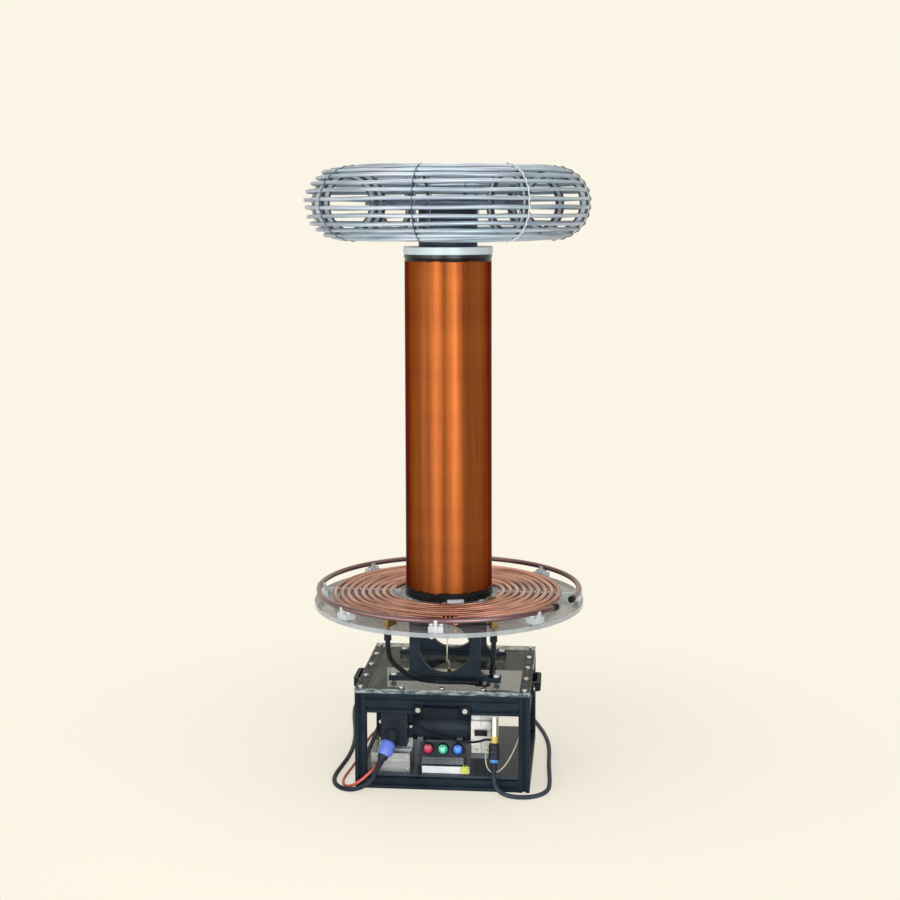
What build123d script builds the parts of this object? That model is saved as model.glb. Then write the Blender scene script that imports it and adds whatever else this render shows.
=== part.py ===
from build123d import *
import math
import os

os.makedirs("parts", exist_ok=True)

# A floor-standing resonant transformer: an open driver box of slotted aluminium
# beams, a black stand, a clear disc with a flat copper coil and a strike rail,
# a tall wound column and a round wire-cage terminal on top.
# Millimetres. X is to the right, Y to the back, Z up, with the origin on the
# floor under the middle of the column. The front of the box faces -Y.

# ---------------------------------------------------------------- driving sizes

# driver box frame
box_width = 314.0
box_depth = 292.0
frame_height = 175.0
beam_side = 20.0
upper_beam_height = 36.0
slot_mouth = 6.2
slot_lip = 1.8
slot_room = 9.0
slot_depth = 5.0
beam_bore = 5.2
beam_corner_radius = 1.0
base_plate_thickness = 4.0
base_plate_lap = 10.0
top_plate_thickness = 8.0

# button-head bolts round the top plate, with their slot nuts
bolts_along_edge = 5
bolt_diameter = 5.0
bolt_head_diameter = 9.5
bolt_head_height = 2.8
slot_nut_side = 8.4
slot_nut_height = 2.6
bolt_reach = 12.4

# carrying handles
handle_screw_spacing = 84.0
handle_tab_length = 18.0
handle_tab_thickness = 4.0
handle_height = 16.0
handle_reach = 16.0
handle_bar = 7.0
handle_screw_diameter = 5.0
handle_screw_head_diameter = 9.0
handle_screw_head_height = 2.6
side_handle_y = -25.0

# stand under the disc: two cut plates with flanges
stand_height = 125.0
stand_width = 129.0
stand_thickness = 12.0
stand_spacing = 164.0
stand_hole_diameter = 93.0
stand_web = 13.0
foot_span = 204.0
flange_height = 8.0
flange_depth = 24.0
foot_fillet = 16.0

# white nylon bolts and nuts of the stand
nylon_diameter = 6.0
nylon_head_diameter = 11.0
nylon_head_height = 3.6
nylon_nut_height = 5.0
foot_bolt_x = 94.0
disc_bolt_x = 52.0
disc_bolt_depth = 16.0

# clear primary disc, combs and their nylon bolts
disc_diameter = 500.0
disc_thickness = 8.0
comb_count = 8
comb_thickness = 6.0
comb_inner_radius = 90.0
comb_outer_radius = 248.0
comb_web = 6.0
comb_tooth = 2.2
horn_inner_radius = 233.0
comb_block_width = 10.0
comb_block_length = 20.0
comb_block_height = 11.0
comb_block_radius = 236.0
comb_bolt_diameter = 5.0
comb_bolt_head_diameter = 8.6
comb_bolt_head_height = 3.4
comb_bolt_nut_height = 4.0

# copper tube of the flat primary coil and of the strike rail
tube_diameter = 9.5
coil_inner_radius = 97.0
coil_pitch = 13.0
coil_turns = 9
coil_end_angle = -116.0
rail_radius = 242.0
rail_rise = 20.0
rail_start_angle = -19.0
rail_end_angle = -33.0
rail_cap_wall = 1.2
rail_cap_length = 9.0

# terminals and tap of the primary
terminal_width = 10.0
terminal_lap = 6.0
terminal_outer_reach = 21.0
terminal_stud_inset = 6.5
terminal_height_over_tube = 6.0
stud_diameter = 6.0
stud_drop = 9.0
tap_angle = -85.6
tap_length = 22.0
tap_wall = 1.8
tap_band_wall = 1.4
tap_band_length = 3.4
tap_band_count = 3
tap_ear_length = 7.0
tap_ear_reach = 6.8
tap_ear_height = 5.2
tap_lead_diameter = 3.5
tap_post_angle = -65.0
tap_post_radius = 229.0
tap_post_side = 12.0

# wound column
seat_diameter = 176.0
seat_thickness = 9.0
seat_spigot_height = 25.0
former_diameter = 158.0
former_wall = 4.0
winding_length = 610.0
winding_thickness = 1.0
lower_collar_height = 15.0
upper_collar_height = 6.0
collar_wall = 2.0
cap_diameter = 164.0
cap_thickness = 14.0
cap_spigot_height = 12.0
neck_socket_depth = 6.0
seat_block_start = -86.8
seat_block_end = -66.8
seat_block_height = 6.5

# neck and wire-cage terminal
neck_diameter = 108.0
neck_wall = 4.0
neck_length = 81.5
neck_plug_height = 8.0
hub_thickness = 5.0
hub_radius = 151.0
cage_major_radius = 196.0
cage_minor_radius = 63.0
cage_ring_count = 26
ring_lengths = 8
tight_ring_radius = 140.0
cage_tube_diameter = 7.0
rib_count = 8
rib_thickness = 5.0
rib_width = 16.0
rib_phase = -98.0
tie_diameter = 1.6
centre_bolt_diameter = 10.0
centre_bolt_head = 17.0
centre_bolt_head_height = 6.4
washer_diameter = 30.0
washer_thickness = 2.0

# driver parts inside the box
supply_width = 72.0
supply_depth = 66.0
supply_height = 34.0
supply_x = -96.0
supply_y = -91.0
supply_vents = 9
inlet_width = 48.0
inlet_height = 62.0
inlet_depth = 27.0
inlet_x = -89.0
inlet_drop = 12.0
inlet_flange_width = 62.0
inlet_flange_thickness = 3.0
sheet_thickness = 3.0
socket_radius = 14.5
plug_radius = 12.5
plug_length = 26.0
plug_neck_radius = 9.5
plug_neck_length = 6.0
relief_length = 20.0
capacitor_diameter = 52.0
capacitor_length = 106.0
capacitor_x = -9.0
capacitor_y = -61.0
capacitor_z = 90.0
cradle_width = 10.0
cradle_overhang = 3.0
cradle_offset = 36.0
panel_width = 84.0
panel_height = 52.0
panel_thickness = 2.0
panel_x = -1.0
panel_y = -110.0
panel_foot = 12.0
lamp_pitch = 27.0
lamp_height = 41.0
lamp_bezel_diameter = 18.0
lamp_bezel_height = 3.0
lamp_lens_diameter = 15.0
lamp_lens_height = 6.5
lamp_body_diameter = 14.0
lamp_body_length = 14.0
strip_width = 74.0
strip_depth = 8.0
strip_height = 13.0
strip_lift = 14.5
strip_ways = 9
plate_width = 86.0
plate_height = 12.5
plate_thickness = 1.6
plate_x = 5.0
plate_y = -124.0
knob_radius = 8.0
knob_thickness = 7.0
knob_lobes = 6
breaker_width = 35.6
breaker_depth = 58.0
breaker_height = 80.0
breaker_x = 67.0
breaker_y = -75.0
breaker_lift = 28.0
lever_width = 22.0
lever_pivot_radius = 5.0
lever_arm = 11.0
lever_thickness = 4.4
rail_bracket_width = 46.0
signal_x = 93.5
signal_y = -122.0
signal_tilt = 15.0
signal_socket_radius = 7.0
signal_socket_length = 40.0
signal_collar_radius = 6.0
signal_collar_length = 12.0
signal_plug_radius = 10.5
signal_plug_length = 28.0
signal_ring_radius = 7.6
signal_ring_length = 6.0
signal_relief_length = 20.0
harness_diameter = 4.0
sensor_wire_diameter = 2.4

# leads held by the object
lead_diameter = 9.0
ferrule_wall = 2.0
ferrule_length = 16.0
lug_thickness = 2.6
lug_width = 15.0
lug_palm = 20.0
lug_bolt_diameter = 6.0
lug_bolt_head = 10.0
lug_bolt_head_height = 4.0
lug_nut_height = 5.0
earth_wire_diameter = 2.2
eyelet_radius = 3.6
eyelet_height = 6.0

# free cords
power_cord_diameter = 8.4
signal_cord_diameter = 8.2
earth_cord_diameter = 5.0
cord_coil_gap = 0.75
cord_coil_step = 1.17

# clearances
slip = 0.15
lift_gap = 0.3
hole_gap = 0.3

# ---------------------------------------------------------------- worked out

half_width = box_width / 2
half_depth = box_depth / 2
base_top = beam_side + base_plate_thickness
plate_top = frame_height + top_plate_thickness
disc_bottom = plate_top + stand_height
disc_top = disc_bottom + disc_thickness
coil_z = disc_top + comb_web + tube_diameter / 2
rail_z = disc_top + rail_rise
tap_lead_z = coil_z - tap_ear_height / 2 - 0.5
coil_outer_radius = coil_inner_radius + coil_pitch * coil_turns
seat_top = disc_top + seat_thickness
former_length = lower_collar_height + winding_length + upper_collar_height
former_top = seat_top + former_length
cap_top = former_top + cap_thickness
neck_bottom = cap_top - neck_socket_depth
hub_bottom = neck_bottom + neck_length
cage_z = hub_bottom + hub_thickness / 2
upper_beam_middle = frame_height - upper_beam_height / 2
upper_slot_offset = upper_beam_height / 4
edge_inset = beam_side / 2


def save(shape, name):
    """Writes one named piece, or one group of like pieces."""
    shape.label = name
    export_step(shape, "parts/" + name + ".step")


def group(solids):
    """Keeps separate solids side by side in one piece."""
    return Compound(children=list(solids))


def cylinder_at(x, y, z, radius, height):
    """An upright cylinder that stands on z."""
    return Pos(x, y, z + height / 2) * Cylinder(radius, height)


def box_between(low, high):
    """A block between two corners."""
    size = [b - a for a, b in zip(low, high)]
    middle = [(a + b) / 2 for a, b in zip(low, high)]
    return Pos(*middle) * Box(*size)


def around(angle, radius):
    """The X and Y of a point at an angle from +X round the column."""
    turn = math.radians(angle)
    return radius * math.cos(turn), radius * math.sin(turn)


# ---------------------------------------------------------------- beams and box


def slot_cut(distance):
    """The section of one slot in a face that lies at this distance along +Y."""
    mouth = Pos(0, distance - slot_lip / 2) * Rectangle(slot_mouth, slot_lip + hole_gap)
    room_height = slot_depth - slot_lip
    room_middle = distance - slot_lip - room_height / 2
    room = Pos(0, room_middle) * Rectangle(slot_room, room_height)
    return mouth + room


def beam_section(height):
    """A slotted section as wide as the beam side; a tall one has two slots a side."""
    section = RectangleRounded(beam_side, height, beam_corner_radius)
    section -= slot_cut(height / 2)
    section -= Rot(0, 0, 180) * slot_cut(height / 2)
    rows = [0.0]
    if height > beam_side:
        rows = [-upper_slot_offset, upper_slot_offset]
    for row in rows:
        section -= Pos(0, row) * Rot(0, 0, 90) * slot_cut(beam_side / 2)
        section -= Pos(0, row) * Rot(0, 0, -90) * slot_cut(beam_side / 2)
        section -= Pos(0, row) * Circle(beam_bore / 2)
    return section


def beam(height, length):
    """A beam along X, centred, with its tall side upright."""
    along_x = Plane(origin=(-length / 2, 0, 0), x_dir=(0, 1, 0), z_dir=(1, 0, 0))
    return extrude(along_x * beam_section(height), amount=length)


def make_posts():
    """Four upright corner posts, each with its end bore up."""
    posts = []
    for side in (-1, 1):
        for end in (-1, 1):
            x = side * (half_width - edge_inset)
            y = end * (half_depth - edge_inset)
            posts.append(Pos(x, y, 0) * extrude(beam_section(beam_side), amount=frame_height))
    return group(posts)


def make_beam_ring(height, z):
    """Four level beams between the posts, front, back, left and right."""
    across = box_width - 2 * beam_side
    along = box_depth - 2 * beam_side
    beams = []
    for end in (-1, 1):
        y = end * (half_depth - edge_inset)
        beams.append(Pos(0, y, z) * beam(height, across))
    for side in (-1, 1):
        x = side * (half_width - edge_inset)
        beams.append(Pos(x, 0, z) * Rot(0, 0, 90) * beam(height, along))
    return group(beams)


def edge_bolt_places():
    """The middles of the bolts along the four edges of the top plate."""
    xs = [(-1 + 2 * k / (bolts_along_edge - 1)) * (half_width - edge_inset) for k in range(bolts_along_edge)]
    ys = [(-1 + 2 * k / (bolts_along_edge - 1)) * (half_depth - edge_inset) for k in range(bolts_along_edge)]
    places = [(x, end * (half_depth - edge_inset)) for x in xs for end in (-1, 1)]
    places += [(side * (half_width - edge_inset), y) for y in ys[1:-1] for side in (-1, 1)]
    return places


def foot_bolt_places():
    """The bolts that hold the stand's feet to the top plate."""
    return [(side * foot_bolt_x, end * stand_spacing / 2) for side in (-1, 1) for end in (-1, 1)]


def disc_bolt_places():
    """The bolts that hold the disc to the stand's upper flanges."""
    return [(side * disc_bolt_x, end * stand_spacing / 2) for side in (-1, 1) for end in (-1, 1)]


def make_base_plate():
    """The floor plate, notched round the posts, that rests on the lower beams."""
    low_x = half_width - base_plate_lap
    low_y = half_depth - base_plate_lap
    plate = box_between((-low_x, -low_y, beam_side), (low_x, low_y, base_top))
    notch = beam_side + hole_gap
    for side in (-1, 1):
        for end in (-1, 1):
            x = side * (half_width - edge_inset)
            y = end * (half_depth - edge_inset)
            plate -= Pos(x, y, beam_side) * Box(notch, notch, beam_side)
    return plate


def make_top_plate():
    """The clear top plate with the holes for all that is bolted to it."""
    middle_z = frame_height + top_plate_thickness / 2
    plate = Pos(0, 0, middle_z) * Box(box_width, box_depth, top_plate_thickness)
    for x, y in edge_bolt_places():
        plate -= Pos(x, y, middle_z) * Cylinder(bolt_diameter / 2 + hole_gap, top_plate_thickness)
    for x, y in foot_bolt_places():
        plate -= Pos(x, y, middle_z) * Cylinder(nylon_diameter / 2 + hole_gap, top_plate_thickness)
    for x, y in lug_bolt_places():
        plate -= Pos(x, y, middle_z) * Cylinder(lug_bolt_diameter / 2 + hole_gap, top_plate_thickness)
    return plate


def make_edge_bolts():
    """Button-head bolts; those over a beam carry a nut in its upper slot."""
    bolts = []
    head_edge = bolt_head_height * 0.45
    for x, y in edge_bolt_places():
        head = cylinder_at(x, y, plate_top, bolt_head_diameter / 2, bolt_head_height)
        head = fillet(head.edges().sort_by(Axis.Z)[-1], head_edge)
        bolt = head + cylinder_at(x, y, plate_top - bolt_reach, bolt_diameter / 2, bolt_reach)
        over_post = abs(x) > half_width - beam_side and abs(y) > half_depth - beam_side
        if not over_post:
            nut_z = frame_height - slot_lip - slot_nut_height / 2
            bolt += Pos(x, y, nut_z) * Box(slot_nut_side, slot_nut_side, slot_nut_height)
        bolts.append(bolt)
    return bolts


# ---------------------------------------------------------------- handles


def handle_at_origin():
    """A bridge handle along X against the plane Y = 0, reaching towards -Y."""
    arch_half = handle_screw_spacing / 2 - handle_tab_length / 2
    tab_half = handle_screw_spacing / 2 + handle_tab_length / 2
    tabs = box_between((-tab_half, -handle_tab_thickness, -handle_height / 2), (tab_half, 0, handle_height / 2))
    arch = box_between((-arch_half, -handle_reach, -handle_height / 2), (arch_half, 0, handle_height / 2))
    outer = [edge for edge in arch.edges().filter_by(Axis.Z) if edge.center().Y < -handle_reach / 2]
    arch = fillet(outer, handle_bar)
    opening_half = arch_half - handle_bar
    opening_reach = handle_reach - handle_bar
    gap = box_between((-opening_half, -opening_reach, -handle_height), (opening_half, 1, handle_height))
    inner = [edge for edge in gap.edges().filter_by(Axis.Z) if edge.center().Y < -opening_reach / 2]
    gap = fillet(inner, handle_bar / 2)
    handle = tabs + arch - gap
    for side in (-1, 1):
        hole = Rot(90, 0, 0) * Cylinder(handle_screw_diameter / 2 + hole_gap / 2, 3 * handle_tab_thickness)
        handle -= Pos(side * handle_screw_spacing / 2, 0, 0) * hole
    return handle


def handle_screws_at_origin():
    """The two screws of a handle, with their nuts in the beam's slot."""
    screws = []
    for side in (-1, 1):
        x = side * handle_screw_spacing / 2
        head_y = -handle_tab_thickness - handle_screw_head_height / 2
        head = Pos(x, head_y, 0) * Rot(90, 0, 0) * Cylinder(handle_screw_head_diameter / 2, handle_screw_head_height)
        reach = handle_tab_thickness + slot_lip + slot_nut_height
        shank = Pos(x, reach / 2 - handle_tab_thickness, 0)
        shank = shank * Rot(90, 0, 0) * Cylinder(handle_screw_diameter / 2, reach)
        nut_y = slot_lip + slot_nut_height / 2
        nut = Pos(x, nut_y, 0) * Box(slot_nut_side, slot_nut_height, slot_nut_side)
        screws.append(head + shank + nut)
    return screws


def handle_places():
    """Front, left and right handles: the frame of each on its beam."""
    low_slot = upper_beam_middle - upper_slot_offset
    high_slot = upper_beam_middle + upper_slot_offset
    return [
        Pos(0, -half_depth, low_slot),
        Pos(half_width, side_handle_y, high_slot) * Rot(0, 0, 90),
        Pos(-half_width, side_handle_y, high_slot) * Rot(0, 0, -90),
    ]


def make_handles():
    return group([place * handle_at_origin() for place in handle_places()])


def make_handle_screws():
    return [place * screw for place in handle_places() for screw in handle_screws_at_origin()]


# ---------------------------------------------------------------- stand


def make_stand_plate(end):
    """One stand plate with a round window, flared feet and bolted flanges."""
    y = end * stand_spacing / 2
    half = stand_width / 2
    hole_z = stand_web + stand_hole_diameter / 2
    face = Pos(0, stand_height / 2) * Rectangle(stand_width, stand_height)
    face += Pos(0, flange_height / 2) * Rectangle(foot_span, flange_height)
    inner = [v for v in face.vertices() if abs(v.Y - flange_height) < 0.01 and abs(abs(v.X) - half) < 0.01]
    face = fillet(inner, foot_fillet)
    face -= Pos(0, hole_z) * Circle(stand_hole_diameter / 2)
    upright = Plane(origin=(0, y + stand_thickness / 2, plate_top), x_dir=(1, 0, 0), z_dir=(0, -1, 0))
    plate = extrude(upright * face, amount=stand_thickness)
    foot_low = (-foot_span / 2, y - flange_depth / 2, plate_top)
    foot_high = (foot_span / 2, y + flange_depth / 2, plate_top + flange_height)
    plate += box_between(foot_low, foot_high)
    head_low = (-half, y - flange_depth / 2, disc_bottom - flange_height)
    head_high = (half, y + flange_depth / 2, disc_bottom)
    plate += box_between(head_low, head_high)
    for x, bolt_y in foot_bolt_places() + disc_bolt_places():
        if abs(bolt_y - y) < 0.01:
            if abs(x) > half:
                plate -= cylinder_at(x, y, plate_top - 1, nylon_diameter / 2 + slip, flange_height + 2)
            else:
                depth = disc_bolt_depth + 1
                plate -= cylinder_at(x, y, disc_bottom - depth, nylon_diameter / 2 + slip, depth + 1)
    return plate


def nylon_bolt(x, y, head_z, tip_z):
    """A nylon bolt with its head above head_z and its tip at tip_z."""
    bolt = cylinder_at(x, y, head_z, nylon_head_diameter / 2, nylon_head_height)
    bolt = fillet(bolt.edges().sort_by(Axis.Z)[-1], nylon_head_height * 0.3)
    return bolt + cylinder_at(x, y, tip_z, nylon_diameter / 2, head_z - tip_z)


def make_stand_bolts():
    """Bolts with nuts through the feet, and bolts that screw into the stand's top."""
    bolts = []
    nut_z = frame_height - nylon_nut_height
    for x, y in foot_bolt_places():
        bolt = nylon_bolt(x, y, plate_top + flange_height, nut_z - 1.5)
        nut = Pos(x, y, nut_z) * RegularPolygon(nylon_head_diameter / 2, 6)
        bolts.append(bolt + extrude(nut, amount=nylon_nut_height))
    for x, y in disc_bolt_places():
        bolts.append(nylon_bolt(x, y, disc_top, disc_bottom - disc_bolt_depth))
    return bolts


# ---------------------------------------------------------------- primary


def coil_points():
    """Ends of the half turns of the flat coil, from the inside out."""
    start = math.radians(coil_end_angle)
    points = []
    for k in range(2 * coil_turns + 1):
        radius = coil_inner_radius + coil_pitch * k / 2
        turn = start + math.pi * k
        points.append((radius * math.cos(turn), radius * math.sin(turn)))
    return points


def coil_arcs():
    """Centre and radius of each half turn of the flat coil."""
    points = coil_points()
    arcs = []
    for a, b in zip(points[:-1], points[1:]):
        centre = ((a[0] + b[0]) / 2, (a[1] + b[1]) / 2)
        arcs.append((centre, math.dist(a, b) / 2))
    return arcs


def coil_radius_on_ray(index, angle):
    """How far out half turn number index crosses the ray at this angle."""
    (cx, cy), radius = coil_arcs()[index]
    ux, uy = around(angle, 1.0)
    along = ux * cx + uy * cy
    return along + math.sqrt(radius ** 2 - cx ** 2 - cy ** 2 + along ** 2)


def coil_crossings(angle):
    """The radii at which the coil's turns cross the ray at this angle."""
    radii = []
    for k in range(2 * coil_turns):
        from_start = (angle - coil_end_angle - 180.0 * k) % 360.0
        begins = 90.0 if k == 0 else 0.0
        if begins <= from_start < 180.0:
            radii.append(coil_radius_on_ray(k, angle))
    return radii


def on_arc(index, degrees_in):
    """The point some degrees into half turn number index."""
    (cx, cy), radius = coil_arcs()[index]
    x, y = around(coil_end_angle + 180.0 * index + degrees_in, radius)
    return cx + x, cy + y


def coil_start_radius():
    """How far from the column the coil's inner end lies."""
    return math.hypot(*on_arc(0, 90.0))


def coil_end_direction():
    """The way the coil's outer end points, level and square to its radius."""
    return around(coil_end_angle + 90.0, 1.0)


def make_coil():
    """The flat coil: one tube on a quarter and then half turns, with straight ends."""
    points = coil_points()
    tail = tube_diameter
    start = on_arc(0, 90.0)
    sx, sy = around(coil_end_angle + 180.0, 1.0)
    first = (start[0] - tail * sx, start[1] - tail * sy)
    edges = [Line((*first, coil_z), (*start, coil_z))]
    edges.append(ThreePointArc((*start, coil_z), (*on_arc(0, 135.0), coil_z), (*points[1], coil_z)))
    for k in range(1, 2 * coil_turns):
        middle = on_arc(k, 90.0)
        edges.append(ThreePointArc((*points[k], coil_z), (*middle, coil_z), (*points[k + 1], coil_z)))
    tx, ty = coil_end_direction()
    last = (points[-1][0] + tail * tx, points[-1][1] + tail * ty)
    edges.append(Line((*points[-1], coil_z), (*last, coil_z)))
    path = Wire(edges)
    section = Plane(origin=path @ 0, z_dir=path % 0) * Circle(tube_diameter / 2)
    coil = sweep(section, path=path)
    gap = least_coil_gap()
    print("primary coil: least gap between turns", round(gap, 2), "mm, volume over section x length",
          round(coil.volume / (math.pi * tube_diameter ** 2 / 4 * path.length), 4))
    return coil


def least_coil_gap():
    """The least clear distance between neighbouring turns, over many rays."""
    least = coil_pitch
    for angle in range(0, 360, 5):
        radii = coil_crossings(angle + 0.5)
        for inner, outer in zip(radii[:-1], radii[1:]):
            least = min(least, outer - inner)
    return least - tube_diameter


def comb_angles():
    """The combs stand in line with the box, one in front."""
    return [-90.0 + 360.0 * k / comb_count for k in range(comb_count)]


def make_comb(angle):
    """A radial comb whose open notches hold the turns, with a horn for the rail."""
    outline = Polyline(
        (comb_inner_radius, disc_top),
        (comb_outer_radius, disc_top),
        (comb_outer_radius, rail_z + comb_tooth),
        (horn_inner_radius, rail_z + comb_tooth),
        (horn_inner_radius, coil_z + comb_tooth),
        (comb_inner_radius, coil_z + comb_tooth),
        close=True,
    )
    radial = Plane(origin=(0, comb_thickness / 2, 0), x_dir=(1, 0, 0), z_dir=(0, -1, 0))
    comb = extrude(radial * make_face(outline), amount=comb_thickness)
    notch = tube_diameter / 2 + slip
    for radius in coil_crossings(angle):
        comb -= Pos(radius, 0, coil_z) * Rot(90, 0, 0) * Cylinder(notch, 2 * comb_thickness)
        comb -= box_between((radius - notch, -comb_thickness, coil_z), (radius + notch, comb_thickness, rail_z))
    comb -= Pos(rail_radius, 0, rail_z) * Rot(90, 0, 0) * Cylinder(notch, 2 * comb_thickness)
    low = (rail_radius - notch, -comb_thickness, rail_z)
    high = (rail_radius + notch, comb_thickness, rail_z + 2 * comb_tooth)
    comb -= box_between(low, high)
    return Rot(0, 0, angle) * comb


def make_combs():
    return [make_comb(angle) for angle in comb_angles()]


def block_places():
    """Radius and sideways place of the two clear blocks beside each comb."""
    sideways = comb_thickness / 2 + comb_block_width / 2
    return [(comb_block_radius, -sideways), (comb_block_radius, sideways)]


def make_comb_blocks():
    """Clear blocks that clamp the combs' outer ends to the disc."""
    blocks = []
    for angle in comb_angles():
        for radius, side in block_places():
            block = Pos(radius, side, disc_top + comb_block_height / 2)
            block = block * Box(comb_block_length, comb_block_width, comb_block_height)
            hole = comb_bolt_diameter / 2 + slip
            block -= Pos(radius, side, disc_top + comb_block_height / 2) * Cylinder(hole, comb_block_height)
            blocks.append(Rot(0, 0, angle) * block)
    return blocks


def make_comb_bolts():
    """Nylon bolts down through the blocks and the disc, with hexagon nuts."""
    bolts = []
    for angle in comb_angles():
        for radius, side in block_places():
            top = disc_top + comb_block_height
            bolt = cylinder_at(radius, side, top, comb_bolt_head_diameter / 2, comb_bolt_head_height)
            tail = disc_bottom - comb_bolt_nut_height - 1.0
            bolt += cylinder_at(radius, side, tail, comb_bolt_diameter / 2, top - tail)
            nut_place = Pos(radius, side, disc_bottom - comb_bolt_nut_height)
            nut = nut_place * RegularPolygon(comb_bolt_head_diameter / 2, 6)
            bolt += extrude(nut, amount=comb_bolt_nut_height)
            bolts.append(Rot(0, 0, angle) * bolt)
    return bolts


def make_disc():
    """The clear round plate, drilled for the bolts and the studs."""
    disc = cylinder_at(0, 0, disc_bottom, disc_diameter / 2, disc_thickness)
    for x, y in disc_bolt_places():
        disc -= cylinder_at(x, y, disc_bottom, nylon_diameter / 2 + hole_gap, disc_thickness)
    for angle in comb_angles():
        for radius, side in block_places():
            hole = cylinder_at(radius, side, disc_bottom, comb_bolt_diameter / 2 + hole_gap, disc_thickness)
            disc -= Rot(0, 0, angle) * hole
    for x, y in (lead_stud_place(), tap_post_place()):
        disc -= cylinder_at(x, y, disc_bottom, stud_diameter / 2 + hole_gap, disc_thickness)
    return disc


def ring_part(ring_radius, tube_radius, start_angle, end_angle, z):
    """A piece of a round tube bent to a ring, between two angles."""
    section = Plane.XZ * Pos(ring_radius, z) * Circle(tube_radius)
    bent = revolve(section, axis=Axis.Z, revolution_arc=(end_angle - start_angle) % 360)
    return Rot(0, 0, start_angle) * bent


def make_rail():
    """The open strike rail in the notches of the combs' horns."""
    return ring_part(rail_radius, tube_diameter / 2, rail_start_angle, rail_end_angle, rail_z)


def make_rail_caps():
    """A black cap over each end of the rail."""
    caps = []
    step = math.degrees(rail_cap_length / rail_radius)
    wall = math.degrees(rail_cap_wall / rail_radius)
    outer = tube_diameter / 2 + slip / 2 + rail_cap_wall
    bore = tube_diameter / 2 + slip / 2
    gap = math.degrees(slip / rail_radius)
    first = ring_part(rail_radius, outer, rail_start_angle - wall - gap, rail_start_angle + step, rail_z)
    first -= ring_part(rail_radius, bore, rail_start_angle - gap, rail_start_angle + 2 * step, rail_z)
    caps.append(first)
    last = ring_part(rail_radius, outer, rail_end_angle - step, rail_end_angle + wall + gap, rail_z)
    last -= ring_part(rail_radius, bore, rail_end_angle - 2 * step, rail_end_angle + gap, rail_z)
    caps.append(last)
    return caps


def lead_stud_place():
    """Where the stud of the coil's outer terminal passes the disc."""
    ux, uy = around(coil_end_angle, 1.0)
    tx, ty = coil_end_direction()
    out = coil_outer_radius + terminal_outer_reach - terminal_stud_inset
    across = tube_diameter + terminal_width / 2
    return out * ux + across * tx, out * uy + across * ty


def tap_post_place():
    return around(tap_post_angle, tap_post_radius)


def make_terminals():
    """Brass blocks at the coil's two ends and a post for the tap lead."""
    height = coil_z + terminal_height_over_tube - disc_top
    middle_z = disc_top + height / 2
    across = tube_diameter + terminal_width / 2
    inner = Pos(coil_start_radius(), -across, middle_z) * Box(terminal_width, terminal_width, height)
    outer_low = coil_outer_radius - terminal_lap
    outer_high = coil_outer_radius + terminal_outer_reach
    outer = Pos((outer_low + outer_high) / 2, across, middle_z)
    outer = outer * Box(outer_high - outer_low, terminal_width, height)
    turned = [Rot(0, 0, coil_end_angle + 90.0) * inner, Rot(0, 0, coil_end_angle) * outer]
    stud_bottom = disc_bottom - stud_drop
    x, y = lead_stud_place()
    turned[1] += cylinder_at(x, y, stud_bottom, stud_diameter / 2, disc_top - stud_bottom + 1)
    x, y = tap_post_place()
    post = Pos(tap_post_radius, 0, disc_top + tap_post_side / 2) * Box(tap_post_side, tap_post_side, tap_post_side)
    post = Rot(0, 0, tap_post_angle) * post
    post += cylinder_at(x, y, stud_bottom, stud_diameter / 2, disc_top - stud_bottom + 1)
    return turned + [post]


def tap_ring():
    """Centre and radius of the outer half turn that carries the tap."""
    return coil_arcs()[2 * coil_turns - 2] if tap_on_first_half() else coil_arcs()[2 * coil_turns - 1]


def tap_on_first_half():
    return (tap_angle - coil_end_angle) % 360.0 < 180.0


def tube_band(inner, outer, middle_angle, length):
    """A short sleeve round the coil's outer turn."""
    (cx, cy), radius = tap_ring()
    half = math.degrees(length / 2 / radius)
    sleeve = ring_part(radius, outer, middle_angle - half, middle_angle + half, coil_z)
    sleeve -= ring_part(radius, inner, middle_angle - 2 * half, middle_angle + 2 * half, coil_z)
    return Pos(cx, cy, 0) * sleeve


def tap_turn_radius():
    """How far from the column the tapped turn runs."""
    return coil_crossings(tap_angle)[-1]


def tap_ear_radius():
    """The middle of the sleeve's ear, outside the tapped turn."""
    return tap_turn_radius() + tube_diameter / 2 + slip + tap_ear_reach / 2


def tap_ear_angle():
    """The ear stands just past the last band."""
    along = tap_length / 2 + tap_ear_length / 2
    return tap_angle + math.degrees(along / tap_turn_radius())


def make_tap_clamp():
    """The copper sleeve that taps the coil, with an ear for its lead."""
    inner = tube_diameter / 2 + slip / 2
    length = tap_length + 2 * tap_ear_length
    sleeve = tube_band(inner, inner + tap_wall, tap_angle + tap_ear_shift(), length - tap_ear_length)
    ear = Pos(tap_ear_radius(), 0, tap_lead_z) * Box(tap_ear_reach, tap_ear_length, tap_ear_height)
    return sleeve + Rot(0, 0, tap_ear_angle()) * ear


def tap_ear_shift():
    """The sleeve is longer on the side of its ear."""
    return math.degrees(tap_ear_length / 2 / tap_turn_radius())


def make_tap_bands():
    """Three black bands round the tap."""
    inner = tube_diameter / 2 + slip / 2 + tap_wall + slip / 2
    radius = tap_ring()[1]
    step = math.degrees(tap_length / tap_band_count / radius)
    bands = []
    for k in range(tap_band_count):
        angle = tap_angle + (k - (tap_band_count - 1) / 2) * step
        bands.append(tube_band(inner, inner + tap_band_wall, angle, tap_band_length))
    return bands


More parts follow.
